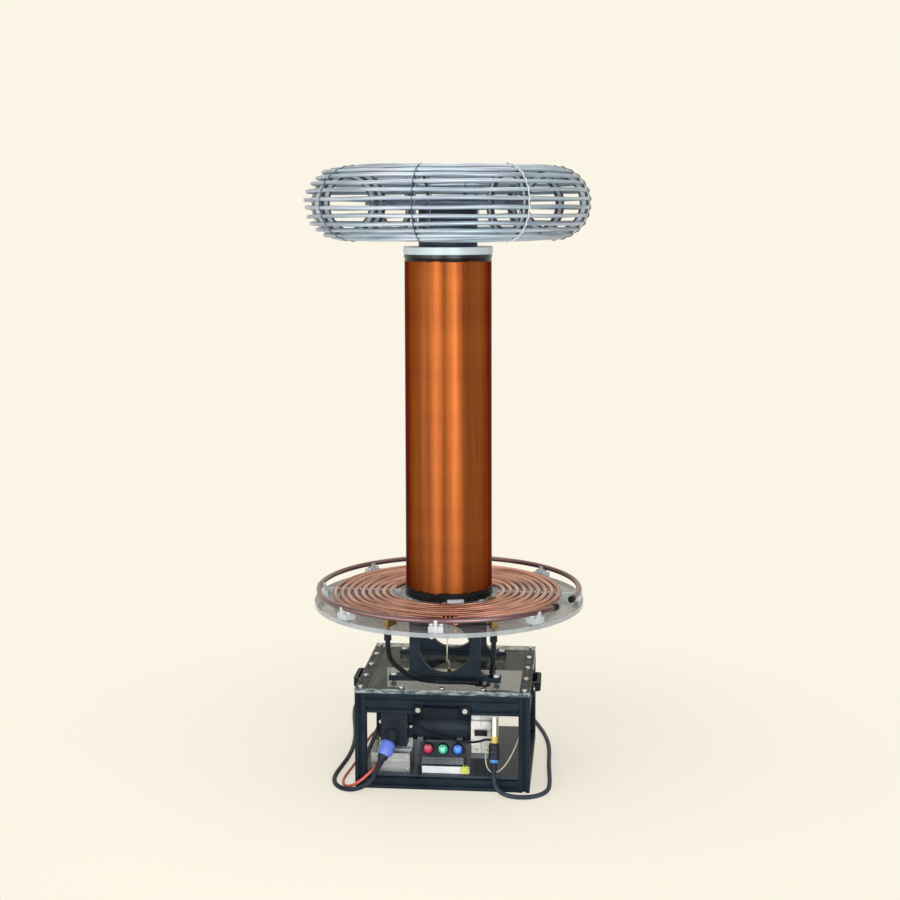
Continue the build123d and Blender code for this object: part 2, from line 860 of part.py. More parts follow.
def make_tap_lead():
    """The thin black lead that runs along the outer turn to the tap post."""
    first = tap_ear_angle() + math.degrees(tap_ear_length / 2 / tap_ear_radius())
    last = tap_post_angle - math.degrees(tap_post_side / 2 / tap_post_radius)
    sweep_angle = last - first
    steps = ((0.0, 0.0), (0.18, 0.0), (0.42, 0.25), (0.62, 0.75), (0.84, 1.0), (1.0, 1.0))
    points = []
    for along, out in steps:
        radius = tap_ear_radius() + out * (tap_post_radius - tap_ear_radius())
        points.append((*around(first + along * sweep_angle, radius), tap_lead_z))
    return swept_tube("tap lead", points, tap_lead_diameter)


# ---------------------------------------------------------------- column


def make_seat():
    """The clear seat with the spigot that centres the column."""
    seat = cylinder_at(0, 0, disc_top, seat_diameter / 2, seat_thickness)
    spigot_radius = former_diameter / 2 - former_wall - lift_gap
    spigot = cylinder_at(0, 0, seat_top, spigot_radius, seat_spigot_height)
    spigot = chamfer(spigot.edges().sort_by(Axis.Z)[-1], 2.0)
    return seat + spigot


def make_seat_block():
    """The small white block on the seat's front edge, clear of the column's collar."""
    inner = former_diameter / 2 + slip + collar_wall + lift_gap
    outer = seat_diameter / 2
    middle_z = seat_top + seat_block_height / 2
    section = Plane.XZ * Pos((inner + outer) / 2, middle_z) * Rectangle(outer - inner, seat_block_height)
    block = revolve(section, axis=Axis.Z, revolution_arc=seat_block_end - seat_block_start)
    return Rot(0, 0, seat_block_start) * block


def tube_between(z_low, z_high, inner, outer):
    """An upright round tube."""
    tube = cylinder_at(0, 0, z_low, outer, z_high - z_low)
    return tube - cylinder_at(0, 0, z_low - 1, inner, z_high - z_low + 2)


def make_former():
    outer = former_diameter / 2
    return tube_between(seat_top, former_top, outer - former_wall, outer)


def make_winding():
    """The one-layer winding of hair-thin wire, as its smooth outer skin."""
    low = seat_top + lower_collar_height
    inner = former_diameter / 2 + slip / 3
    return tube_between(low, low + winding_length, inner, inner + winding_thickness)


def make_collars():
    """Black bands under and over the winding."""
    inner = former_diameter / 2 + slip / 3
    lower = tube_between(seat_top, seat_top + lower_collar_height, inner, inner + collar_wall)
    low = former_top - upper_collar_height
    upper = tube_between(low, former_top, inner, inner + collar_wall)
    return group([lower, upper])


def make_top_cap():
    """The pale cap with a spigot into the column and a socket for the neck."""
    cap = cylinder_at(0, 0, former_top, cap_diameter / 2, cap_thickness)
    cap = chamfer(cap.edges().filter_by(GeomType.CIRCLE), 1.0)
    spigot_radius = former_diameter / 2 - former_wall - slip
    cap += cylinder_at(0, 0, former_top - cap_spigot_height, spigot_radius, cap_spigot_height)
    return cap - cylinder_at(0, 0, neck_bottom, neck_diameter / 2 + lift_gap, neck_socket_depth + 1)


def make_neck():
    outer = neck_diameter / 2
    return tube_between(neck_bottom, hub_bottom, outer - neck_wall, outer)


def make_neck_plug():
    """The disc glued inside the neck's upper end, tapped for the centre bolt."""
    radius = neck_diameter / 2 - neck_wall - slip
    plug = cylinder_at(0, 0, hub_bottom - neck_plug_height, radius, neck_plug_height)
    return plug - cylinder_at(0, 0, hub_bottom - 2 * neck_plug_height, centre_bolt_diameter / 2 + slip, 3 * neck_plug_height)


# ---------------------------------------------------------------- wire cage


def rib_angles():
    return [rib_phase + 360.0 * k / rib_count for k in range(rib_count)]


def cage_rings():
    """Radius and height of each ring of the cage, none level with the hub."""
    rings = []
    for k in range(cage_ring_count):
        turn = 2 * math.pi * (k + 0.5) / cage_ring_count
        rings.append((cage_major_radius + cage_minor_radius * math.cos(turn),
                      cage_z + cage_minor_radius * math.sin(turn)))
    return rings


def make_cage_rings():
    """The level rings of bent tube, each of lengths that meet end to end, in the ribs and on the tightest rings between them."""
    lengths = []
    for radius, z in cage_rings():
        count = 2 * ring_lengths if radius < tight_ring_radius else ring_lengths
        step = 360.0 / count
        for k in range(count):
            start = rib_phase + step * k
            lengths.append(ring_part(radius, cage_tube_diameter / 2, start, start + step, z))
    return group(lengths)


def make_rib(angle):
    """A round plate rib whose rim is notched for the rings."""
    rim = Circle(cage_minor_radius) - Circle(cage_minor_radius - rib_width)
    for radius, z in cage_rings():
        rim -= Pos(radius - cage_major_radius, z - cage_z) * Circle(cage_tube_diameter / 2 + slip)
    radial = Plane(origin=(cage_major_radius, rib_thickness / 2, cage_z), x_dir=(1, 0, 0), z_dir=(0, -1, 0))
    rib = extrude(radial * rim, amount=rib_thickness)
    return Rot(0, 0, angle) * rib


def make_ribs():
    return group([make_rib(angle) for angle in rib_angles()])


def make_ties():
    """One thin wire tie round the outside of the rings at each rib."""
    ties = []
    reach = cage_minor_radius + cage_tube_diameter / 2 + tie_diameter / 2 + slip
    for angle in rib_angles():
        tie = Pos(cage_major_radius, 0, cage_z) * Rot(90, 0, 0) * Torus(reach, tie_diameter / 2)
        ties.append(Rot(0, 0, angle) * tie)
    return group(ties)


def make_hub():
    """The level plate, slotted at its rim for the ribs and the ties."""
    hub = cylinder_at(0, 0, hub_bottom, hub_radius, hub_thickness)
    tie_reach = cage_minor_radius + cage_tube_diameter / 2 + tie_diameter + 2 * slip
    slot_start = cage_major_radius - tie_reach
    slot_length = hub_radius - slot_start
    for angle in rib_angles():
        slot = Pos(slot_start + slot_length, 0, cage_z)
        slot = slot * Box(2 * slot_length, rib_thickness + 2 * slip, 2 * hub_thickness)
        hub -= Rot(0, 0, angle) * slot
    return hub - cylinder_at(0, 0, hub_bottom - 1, centre_bolt_diameter / 2 + slip, hub_thickness + 2)


def make_centre_bolt():
    """The bolt and washer that hold the cage on its neck."""
    top = hub_bottom + hub_thickness
    bolt = cylinder_at(0, 0, top, washer_diameter / 2, washer_thickness)
    head = Pos(0, 0, top + washer_thickness) * RegularPolygon(centre_bolt_head / 2, 6)
    bolt += extrude(head, amount=centre_bolt_head_height)
    reach = hub_thickness + neck_plug_height + 4.0
    return bolt + cylinder_at(0, 0, top - reach, centre_bolt_diameter / 2, reach)


# ---------------------------------------------------------------- swept cords


def corner_radii(points, share=0.45):
    """The largest arc that each corner's shorter run leaves room for."""
    corners = [Vector(*p) for p in points]
    radii = []
    for before, at, after in zip(corners[:-2], corners[1:-1], corners[2:]):
        turn = math.radians((at - before).get_angle(after - at))
        shorter = min((at - before).length, (after - at).length)
        radii.append(share * shorter / math.tan(turn / 2))
    return radii


def swept_tube(name, points, diameter, tail_wire=None):
    """A round tube along straight runs and tangent arcs through the route."""
    radii = corner_radii(points)
    path = FilletPolyline(*points, radius=radii)
    section = Plane(origin=path @ 0, z_dir=path % 0) * Circle(diameter / 2)
    tube = sweep(section, path=path)
    check = tube.volume / (math.pi * diameter ** 2 / 4 * path.length)
    print(name, "length", round(path.length, 1), "radii", [round(r) for r in radii],
          "in diameters, least", round(min(radii) / diameter, 1), "volume check", round(check, 4))
    return tube


def coil_layers(centre, diameter, mean_radius, half_turns, side):
    """Ends of the half turns of a two-layer coil: in, up a layer, and out again."""
    rise = diameter + cord_coil_gap
    pitch = cord_coil_step * rise
    radius = mean_radius + pitch * half_turns / 4
    height = diameter / 2
    places = []
    sign = side
    for k in range(half_turns + 1):
        places.append((centre[0] + sign * radius, centre[1], height))
        if k < half_turns:
            radius -= pitch / 2
            sign = -sign
    height += rise
    sign = -sign
    places.append((centre[0] + sign * radius, centre[1], height))
    for k in range(half_turns):
        radius += pitch / 2
        sign = -sign
        places.append((centre[0] + sign * radius, centre[1], height))
    return places


def wound_coil(name, centre, diameter, mean_radius, half_turns, side, tail):
    """A put-away coil of one cord, with straight ends, the last as long as tail."""
    places = [Vector(*p) for p in coil_layers(centre, diameter, mean_radius, half_turns, side)]
    forward = Vector(0, 1, 0)
    edges = [Line(places[0] - forward * diameter, places[0])]
    for k, (a, b) in enumerate(zip(places[:-1], places[1:])):
        way = 1 if k % 2 == 0 else -1
        middle = (a + b) * 0.5 + forward * (way * (b - a).length / 2)
        edges.append(ThreePointArc(a, middle, b))
    way = 1 if (len(places) - 1) % 2 == 0 else -1
    edges.append(Line(places[-1], places[-1] + forward * (way * tail)))
    path = Wire(edges)
    section = Plane(origin=path @ 0, z_dir=path % 0) * Circle(diameter / 2)
    coil = sweep(section, path=path)
    check = coil.volume / (math.pi * diameter ** 2 / 4 * path.length)
    gap = least_self_gap(path, diameter)
    print(name, "length", round(path.length, 1), "least gap to itself", round(gap, 2), "volume check", round(check, 4))
    return coil, path @ 1


def least_self_gap(path, diameter):
    """The least clear distance of a wound cord to itself, on points along it."""
    step = diameter / 2
    count = int(path.length / step)
    points = [path @ (k / count) for k in range(count + 1)]
    skip = int(math.pi * diameter / step)
    least = path.length
    for i, a in enumerate(points):
        for b in points[i + skip:]:
            least = min(least, (a - b).length)
    return least - diameter


# ---------------------------------------------------------------- leads

left_lead_end = (48.0, -110.0)
right_lead_end = (82.0, -22.0)
lead_lie = plate_top + lead_diameter / 2 + 0.9


def lug_bolt_places():
    """Where the two lugs are bolted to the top plate."""
    reach = ferrule_length + lug_palm / 2
    return [(left_lead_end[0] + reach, left_lead_end[1]), (right_lead_end[0], right_lead_end[1] + reach)]


def make_left_lead():
    """The thick black lead that sweeps down past the front of the stand."""
    x, y = lead_stud_place()
    top = disc_bottom - ferrule_length
    points = [
        (x, y, top), (x, y, top - 16.0), (x + 2.5, y + 7.0, top - 36.0),
        (-72.0, -180.0, plate_top + 49.0), (-50.0, -141.0, plate_top + 20.0),
        (-18.0, -114.0, lead_lie + 1.2), (18.0, left_lead_end[1], lead_lie), (*left_lead_end, lead_lie),
    ]
    return swept_tube("left lead", points, lead_diameter)


def make_right_lead():
    """The thick black lead that runs tight from the disc to behind the right foot."""
    x, y = tap_post_place()
    top = disc_bottom - ferrule_length
    points = [
        (x, y, top), (x, y, top - 17.0), (x - 1.5, y + 12.0, top - 36.0),
        (84.0, -68.0, lead_lie + 6.4), (right_lead_end[0], -50.0, lead_lie), (*right_lead_end, lead_lie),
    ]
    return swept_tube("right lead", points, lead_diameter)


def make_ferrules():
    """Black ferrules on the studs under the disc."""
    ferrules = []
    for x, y in (lead_stud_place(), tap_post_place()):
        outer = lead_diameter / 2 + ferrule_wall
        ferrule = cylinder_at(x, y, disc_bottom - ferrule_length, outer, ferrule_length)
        bore = stud_diameter / 2 + slip
        ferrule -= cylinder_at(x, y, disc_bottom - stud_drop - 1, bore, stud_drop + 2)
        ferrules.append(ferrule)
    return ferrules


def lug_at_origin():
    """A crimped lug along +X whose barrel starts at the origin."""
    barrel_radius = lead_diameter / 2 + 0.7
    rise = lead_lie - plate_top
    lug = Pos(ferrule_length / 2, 0, rise) * Rot(0, 90, 0) * Cylinder(barrel_radius, ferrule_length)
    palm = box_between((ferrule_length - 6, -lug_width / 2, 0), (ferrule_length + lug_palm, lug_width / 2, lug_thickness))
    ends = [edge for edge in palm.edges().filter_by(Axis.Z) if edge.center().X > ferrule_length]
    palm = fillet(ends, lug_width * 0.35)
    lug += palm
    hole = lug_bolt_diameter / 2 + slip
    return lug - cylinder_at(ferrule_length + lug_palm / 2, 0, -1, hole, lug_thickness + 2)


def make_lugs():
    left = Pos(*left_lead_end, plate_top) * lug_at_origin()
    right = Pos(*right_lead_end, plate_top) * Rot(0, 0, 90) * lug_at_origin()
    return group([left, right])


def make_lug_bolts():
    """Hexagon bolts through the lugs and the top plate, with nuts."""
    bolts = []
    head_z = plate_top + lug_thickness
    tail = frame_height - lug_nut_height - 1.5
    for x, y in lug_bolt_places():
        bolt = extrude(Pos(x, y, head_z) * RegularPolygon(lug_bolt_head / 2, 6), amount=lug_bolt_head_height)
        bolt += cylinder_at(x, y, tail, lug_bolt_diameter / 2, head_z - tail)
        nut = Pos(x, y, frame_height - lug_nut_height) * RegularPolygon(lug_bolt_head / 2, 6)
        bolts.append(bolt + extrude(nut, amount=lug_nut_height))
    return bolts


earth_wire_top = (18.0, -226.0)
earth_wire_foot = (3.4, -34.0)


def make_earth_wire():
    """The thin pale wire from the disc's front down through the stand's window."""
    x, y = earth_wire_top
    foot_x, foot_y = earth_wire_foot
    points = [
        (x, y, disc_bottom - eyelet_height), (x, y, disc_bottom - 24.0), (15.0, -198.0, plate_top + 81.0),
        (10.0, -150.0, plate_top + 57.0), (6.5, -98.0, plate_top + 38.0), (4.4, -60.0, plate_top + 29.0),
        (foot_x + 0.4, -46.0, plate_top + 26.5), (foot_x, foot_y, plate_top + 19.5), (foot_x, foot_y, plate_top + eyelet_height),
    ]
    return swept_tube("earth wire", points, earth_wire_diameter)


def make_eyelets():
    """The two small terminals of the thin wire."""
    top = cylinder_at(*earth_wire_top, disc_bottom - eyelet_height, eyelet_radius, eyelet_height)
    foot = cylinder_at(*earth_wire_foot, plate_top, eyelet_radius, eyelet_height)
    return [top, foot]


# ---------------------------------------------------------------- inside the box

supply_top = base_top + supply_height
inlet_back_y = supply_y - supply_depth / 2 + 2.0 + inlet_depth
inlet_middle_z = supply_top + inlet_drop + inlet_height / 2
socket_start = Vector(inlet_x - 5.0, inlet_back_y - inlet_depth + 3.0, supply_top + inlet_drop + 18.0)
plug_way = Vector(-0.33, -0.55, -0.77).normalized()
socket_out = 12.0


def along_axis(start, way, near, far, radius_near, radius_far):
    """A round piece along an axis between two distances, straight or tapered."""
    plane = Plane(origin=start + way * near, z_dir=way)
    if abs(radius_near - radius_far) < 1e-9:
        return extrude(plane * Circle(radius_near), amount=far - near)
    top = Plane(origin=start + way * far, z_dir=way)
    return loft([plane * Circle(radius_near), top * Circle(radius_far)])


def make_supply():
    """The silver metal supply case with its row of vents."""
    low = (supply_x - supply_width / 2, supply_y - supply_depth / 2, base_top)
    high = (supply_x + supply_width / 2, supply_y + supply_depth / 2, supply_top)
    case = box_between(low, high)
    case = fillet(case.edges().filter_by(Axis.Z), 1.2)
    pitch = supply_width / (supply_vents + 1)
    for k in range(supply_vents):
        x = low[0] + pitch * (k + 1)
        slot_low = (x - 1.2, supply_y - 2, supply_top - 2.0)
        slot_high = (x + 1.2, supply_y + supply_depth / 2 - 6.0, supply_top + 1)
        case -= box_between(slot_low, slot_high)
    return case


def make_inlet_bracket():
    """The bent sheet that stands on the supply case and carries the inlet."""
    half = inlet_flange_width / 2
    back = box_between((inlet_x - half, inlet_back_y, supply_top),
                       (inlet_x + half, inlet_back_y + sheet_thickness, inlet_middle_z + inlet_height / 2))
    foot = box_between((inlet_x - half, inlet_back_y - 14.0, supply_top),
                       (inlet_x + half, inlet_back_y + sheet_thickness, supply_top + sheet_thickness))
    return back + foot


def make_inlet():
    """The square black inlet with its flange and its sloping round socket."""
    half = inlet_width / 2
    front = inlet_back_y - inlet_depth
    low_z = inlet_middle_z - inlet_height / 2
    high_z = inlet_middle_z + inlet_height / 2
    body = box_between((inlet_x - half, front, low_z), (inlet_x + half, inlet_back_y, high_z))
    body = fillet(body.edges().filter_by(Axis.Y), 3.0)
    flange_half = inlet_flange_width / 2
    flange_y = inlet_back_y - inlet_flange_thickness
    body += box_between((inlet_x - flange_half, flange_y, low_z + 8), (inlet_x + flange_half, inlet_back_y, high_z - 8))
    body -= along_axis(socket_start, plug_way, socket_out, 5 * socket_out, socket_radius, socket_radius)
    body += along_axis(socket_start, plug_way, -8.0, socket_out, socket_radius, socket_radius)
    return body - box_between((inlet_x - 60, inlet_back_y, low_z - 40), (inlet_x + 60, inlet_back_y + 60, high_z + 40))


def make_inlet_screws():
    """Bright screws at the two sides of the inlet's flange."""
    screws = []
    y = inlet_back_y - inlet_flange_thickness
    for side, z in ((-1, inlet_middle_z + 6), (1, inlet_middle_z - 1)):
        x = inlet_x + side * (inlet_width / 2 + (inlet_flange_width - inlet_width) / 4)
        head = Pos(x, y - 1.25, z) * Rot(90, 0, 0) * Cylinder(3.4, 2.5)
        screws.append(fillet(head.edges().sort_by(Axis.Y)[0], 0.9))
    return screws


def make_power_plug():
    """The blue locking plug, with grip ridges, in the inlet's socket."""
    end = socket_out + plug_length
    plug = along_axis(socket_start, plug_way, socket_out, end, plug_radius, plug_radius - 1.0)
    for k in range(3):
        ridge = socket_out + 4.0 + 5.0 * k
        plug += along_axis(socket_start, plug_way, ridge, ridge + 2.0, plug_radius + 0.8, plug_radius + 0.8)
    return plug


def make_power_relief():
    """The dark clamp and the tapered strain relief behind the blue plug."""
    near = socket_out + plug_length
    neck = along_axis(socket_start, plug_way, near, near + plug_neck_length, plug_neck_radius, plug_neck_radius)
    far = near + plug_neck_length + relief_length
    relief = along_axis(socket_start, plug_way, near + plug_neck_length, far, 7.0, power_cord_diameter / 2 + 0.4)
    return neck + relief


def make_capacitor():
    """The black round capacitor that lies across the box."""
    body = Pos(capacitor_x, capacitor_y, capacitor_z) * Rot(0, 90, 0)
    body = body * Cylinder(capacitor_diameter / 2, capacitor_length)
    return fillet(body.edges().filter_by(GeomType.CIRCLE), 2.5)


def make_cradles():
    """Two cradles that carry the capacitor off the base plate."""
    cradles = []
    half = capacitor_diameter / 2 + cradle_overhang
    top = capacitor_z - capacitor_diameter / 4
    for side in (-1, 1):
        x = capacitor_x + side * cradle_offset
        low = (x - cradle_width / 2, capacitor_y - half, base_top)
        high = (x + cradle_width / 2, capacitor_y + half, top)
        cradle = box_between(low, high)
        seat = Cylinder(capacitor_diameter / 2 + slip, 4 * cradle_width)
        cradle -= Pos(x, capacitor_y, capacitor_z) * Rot(0, 90, 0) * seat
        cradle -= box_between((x - cradle_width, capacitor_y - half + 9, base_top + 5),
                              (x + cradle_width, capacitor_y + half - 9, base_top + 22))
        cradles.append(cradle)
    return group(cradles)


def lamp_xs():
    return [panel_x + lamp_pitch * k for k in (-1, 0, 1)]


def make_panel():
    """The small folded panel with three lamp holes."""
    half = panel_width / 2
    panel = box_between((panel_x - half, panel_y - panel_thickness, base_top),
                        (panel_x + half, panel_y, base_top + panel_height))
    panel += box_between((panel_x - half, panel_y - panel_thickness, base_top),
                         (panel_x + half, panel_y + panel_foot, base_top + panel_thickness))
    for x in lamp_xs():
        hole = Cylinder(lamp_body_diameter / 2 + slip, 6 * panel_thickness)
        panel -= Pos(x, panel_y, base_top + lamp_height) * Rot(90, 0, 0) * hole
    return panel


def make_lamp_bodies():
    """Black rims and bodies of the three lamps."""
    bodies = []
    front = panel_y - panel_thickness
    start_z = base_top + lamp_height
    for x in lamp_xs():
        way = Vector(0, 1, 0)
        start = Vector(x, front, start_z)
        rim = along_axis(start, way, -lamp_bezel_height, 0, lamp_bezel_diameter / 2, lamp_bezel_diameter / 2)
        well = along_axis(start, way, -lamp_bezel_height - 1, -1.0, lamp_lens_diameter / 2 + slip, lamp_lens_diameter / 2 + slip)
        body = along_axis(start, way, 0, lamp_body_length, lamp_body_diameter / 2, lamp_body_diameter / 2)
        bodies.append(rim - well + body)
    return bodies


def make_lamp_lens(x):
    """A coloured domed lens in its rim."""
    front = panel_y - panel_thickness - 1.0
    radius = lamp_lens_diameter / 2
    lens = Pos(x, front - lamp_lens_height / 2, base_top + lamp_height) * Rot(90, 0, 0) * Cylinder(radius, lamp_lens_height)
    return fillet(lens.edges().sort_by(Axis.Y)[0], 2.6)


def make_strip():
    """The row of screw terminals under the lamps."""
    half = strip_width / 2
    back = panel_y - panel_thickness
    low_z = base_top + strip_lift
    strip = box_between((panel_x - half, back - strip_depth, low_z), (panel_x + half, back, low_z + strip_height))
    pitch = strip_width / strip_ways
    for k in range(strip_ways + 1):
        x = panel_x - half + pitch * k
        wall = box_between((x - 0.7, back - strip_depth - 2.0, low_z), (x + 0.7, back, low_z + strip_height))
        strip += wall
    for k in range(strip_ways):
        x = panel_x - half + pitch * (k + 0.5)
        head = Pos(x, back - strip_depth - 0.6, low_z + strip_height / 2) * Rot(90, 0, 0) * Cylinder(2.6, 1.6)
        strip += head
    return strip


def make_name_plate():
    """The bare white plate that stands before the panel."""
    half = plate_width / 2
    low = (plate_x - half, plate_y - plate_thickness, base_top)
    high = (plate_x + half, plate_y, base_top + plate_height)
    plate = box_between(low, high)
    knob_x = plate_x + half - knob_radius
    knob_z = base_top + knob_radius + 0.8
    return plate - Pos(knob_x, plate_y, knob_z) * Rot(90, 0, 0) * Cylinder(2.0 + slip, 10)


def make_knob():
    """The lobed yellow-green earth knob on its stud through the plate."""
    x = plate_x + plate_width / 2 - knob_radius
    z = base_top + knob_radius + 0.8
    face = Circle(knob_radius * 0.72)
    for k in range(knob_lobes):
        lx, ly = around(360.0 * k / knob_lobes, knob_radius * 0.66)
        face += Pos(lx, ly) * Circle(knob_radius * 0.32)
    front = Plane(origin=(x, plate_y - plate_thickness, z), x_dir=(1, 0, 0), z_dir=(0, -1, 0))
    knob = extrude(front * face, amount=knob_thickness)
    stud = Pos(x, plate_y - plate_thickness + 3.0, z) * Rot(90, 0, 0) * Cylinder(2.0, 8.0)
    return knob + stud


def make_breaker():
    """The white two-pole breaker with the window for its lever."""
    half = breaker_width / 2
    low_z = base_top + breaker_lift
    front = breaker_y - breaker_depth / 2
    back = breaker_y + breaker_depth / 2
    step = 10.0
    body = box_between((breaker_x - half, front + step, low_z), (breaker_x + half, back, low_z + breaker_height))
    nose_low = low_z + breaker_height * 0.22
    nose_high = low_z + breaker_height * 0.78
    body += box_between((breaker_x - half, front, nose_low), (breaker_x + half, back, nose_high))
    pivot = Pos(breaker_x, front + 2.0, lever_pivot_z())
    well = pivot * Rot(0, 90, 0) * Cylinder(lever_pivot_radius + 2 * lift_gap, lever_width + 4 * lift_gap)
    return body - well


def lever_pivot_z():
    return base_top + breaker_lift + breaker_height / 2


def make_lever():
    """The black lever that ties both poles."""
    front = breaker_y - breaker_depth / 2
    place = Pos(breaker_x, front + 2.0, lever_pivot_z())
    lever = place * Rot(0, 90, 0) * Cylinder(lever_pivot_radius, lever_width)
    arm = Pos(0, -lever_arm / 2 - lever_pivot_radius / 2, 0) * Box(lever_width, lever_arm, lever_thickness)
    arm = fillet(arm.edges().filter_by(Axis.X).sort_by(Axis.Y)[:2], 1.8)
    return lever + place * Rot(-35, 0, 0) * arm


def make_breaker_bracket():
    """The bent steel foot and rail that carry the breaker."""
    half = rail_bracket_width / 2
    back = breaker_y + breaker_depth / 2
    upright = box_between((breaker_x - half, back, base_top),
                          (breaker_x + half, back + sheet_thickness, lever_pivot_z() + 26))
    foot = box_between((breaker_x - half, back, base_top), (breaker_x + half, back + 22, base_top + sheet_thickness))
    return upright + foot


signal_way = Vector(0, -math.sin(math.radians(signal_tilt)), -math.cos(math.radians(signal_tilt)))
signal_bracket_bottom = frame_height - upper_beam_height - sheet_thickness
signal_start = Vector(signal_x, signal_y, signal_bracket_bottom)


def make_signal_bracket():
    """The black plate under the front beam and the silver socket that hangs from it."""
    half = 11.0
    top = signal_bracket_bottom + sheet_thickness
    return box_between((signal_x - half, -half_depth + 2, signal_bracket_bottom), (signal_x + half, signal_y + 12, top))


def make_signal_socket():
    """The silver round socket with its bevelled mouth."""
    end = signal_socket_length
    socket = along_axis(signal_start, signal_way, -6.0, end, signal_socket_radius, signal_socket_radius)
    high = signal_bracket_bottom
    return socket - box_between((signal_x - 20, signal_y - 20, high), (signal_x + 20, signal_y + 20, high + 20))


def make_signal_collar():
    near = signal_socket_length
    return along_axis(signal_start, signal_way, near, near + signal_collar_length, signal_collar_radius, signal_collar_radius)


def make_signal_plug():
    """The black cable connector on the socket."""
    near = signal_socket_length + signal_collar_length
    far = near + signal_plug_length
    plug = along_axis(signal_start, signal_way, near, far, signal_plug_radius, signal_plug_radius)
    return plug


def make_signal_ring():
    """The blue nut under the connector."""
    near = signal_socket_length + signal_collar_length + signal_plug_length
    far = near + signal_ring_length
    return along_axis(signal_start, signal_way, near, far, signal_ring_radius, signal_ring_radius)


def make_signal_relief():
    """The tapered relief under the blue nut."""
    near = signal_socket_length + signal_collar_length + signal_plug_length + signal_ring_length
    far = near + signal_relief_length
    return along_axis(signal_start, signal_way, near, far, 6.0, signal_cord_diameter / 2 + 0.3)


def make_harness():
    """The thin black cable that droops under the capacitor."""
    start_x = inlet_x + inlet_width / 2
    end = signal_start + signal_way * (signal_socket_length + signal_collar_length / 2)
    points = [
        (start_x, inlet_back_y - 14.0, 107.0), (start_x + 13.0, inlet_back_y - 14.0, 106.8),
        (start_x + 38.0, inlet_back_y - 13.0, 94.5), (0.0, -107.0, 83.0), (27.0, -111.0, 78.5),
        (49.0, -119.5, 80.0), (66.0, -129.0, 86.0), (76.5, end.Y, end.Z),
        (end.X - signal_collar_radius - slip, end.Y, end.Z),
    ]
    return swept_tube("harness", points, harness_diameter)


def make_sensor_wire():
    """The pale thin wire that loops down behind the connector and up to its collar."""
    end = signal_start + signal_way * (signal_socket_length + signal_collar_length - 2.0)
    points = [
        (140.0, -119.0, frame_height - upper_beam_height), (140.0, -119.5, 121.0), (139.5, -121.0, 103.0),
        (134.0, -124.5, 84.0), (123.5, -129.5, 61.5), (112.0, -134.5, 44.0), (101.0, -138.5, 34.5),
        (88.5, -138.5, 32.5), (80.0, -136.5, 41.0), (77.5, -135.0, 56.0), (78.5, -135.0, 73.0),
        (80.5, end.Y, end.Z), (end.X - signal_collar_radius - slip, end.Y, end.Z),
    ]
    return swept_tube("sensor wire", points, sensor_wire_diameter)


# ---------------------------------------------------------------- free cords

relief_end = socket_start + plug_way * (socket_out + plug_length + plug_neck_length + relief_length)
signal_end = signal_start + signal_way * (
    signal_socket_length + signal_collar_length + signal_plug_length + signal_ring_length + signal_relief_length)

power_coil_centre = (-168.0, 330.0)
earth_coil_centre = (-40.0, 330.0)
signal_coil_centre = (80.0, 330.0)
power_coil_radius = 46.0
earth_coil_radius = 28.0
signal_coil_radius = 45.0
power_half_turns = 4
earth_half_turns = 6
signal_half_turns = 4
coil_tail = 40.0
earth_tail = 30.0


def coil_entry(centre, diameter, mean_radius, half_turns, side):
    """Where the free stretch of a cord meets its coil."""
    start = coil_layers(centre, diameter, mean_radius, half_turns, side)[0]
    return start[0], start[1] - diameter, start[2]


def make_power_run():
    """The mains cord from the blue plug round the left side of the box."""
    x, y, z = coil_entry(power_coil_centre, power_cord_diameter, power_coil_radius, power_half_turns, -1)
    lie = power_cord_diameter / 2
    first = relief_end + plug_way * 16.0
    points = [
        tuple(relief_end), tuple(first), (-134.5, -172.0, 14.5), (-155.0, -173.0, 6.6),
        (-177.0, -164.0, lie), (-193.0, -145.0, lie), (-200.5, -118.0, lie), (-200.5, -88.0, lie), (-196.5, -52.0, lie),
        (-191.5, -6.0, lie), (-191.0, 46.0, lie), (-195.0, 98.0, lie), (-203.0, 152.0, lie),
        (-213.0, 204.0, lie), (-221.0, 252.0, lie), (x, y - 34.0, z), (x, y, z),
    ]
    return swept_tube("power run", points, power_cord_diameter)


def make_earth_run():
    """The red earth cord from the supply case round the left side."""
    x, y, z = coil_entry(earth_coil_centre, earth_cord_diameter, earth_coil_radius, earth_half_turns, -1)
    lie = earth_cord_diameter / 2
    front = supply_y - supply_depth / 2 - 4.0
    points = [
        (-120.0, front, 38.0), (-120.0, front - 13.0, 38.0), (-130.0, -155.0, 31.0),
        (-143.5, -160.0, 19.5), (-159.0, -158.0, 8.5), (-173.5, -148.5, 2.9),
        (-182.0, -132.0, lie), (-183.5, -105.0, lie), (-178.0, -60.0, lie),
        (-172.5, -8.0, lie), (-171.0, 46.0, lie), (-170.0, 98.0, lie), (-163.0, 146.0, lie),
        (-146.0, 186.0, lie), (-118.0, 211.0, lie), (-93.0, 233.0, lie), (-80.0, 261.0, lie),
        (x, y - 34.0, z), (x, y, z),
    ]
    return swept_tube("earth run", points, earth_cord_diameter)


def make_signal_run():
    """The grey signal cord from its connector round the right side."""
    x, y, z = coil_entry(signal_coil_centre, signal_cord_diameter, signal_coil_radius, signal_half_turns, 1)
    lie = signal_cord_diameter / 2
    first = signal_end + signal_way * 12.5
    points = [
        tuple(signal_end), tuple(first), (99.0, -159.5, 11.4), (112.5, -168.5, lie),
        (134.5, -177.5, lie), (158.4, -175.5, lie), (178.3, -162.0, lie), (190.0, -140.0, lie),
        (192.0, -107.0, lie), (190.0, -60.0, lie), (187.5, -8.0, lie), (187.0, 46.0, lie), (184.0, 100.0, lie),
        (175.0, 152.0, lie), (161.0, 202.0, lie), (146.0, 250.0, lie), (x, y - 36.0, z), (x, y, z),
    ]
    return swept_tube("signal run", points, signal_cord_diameter)


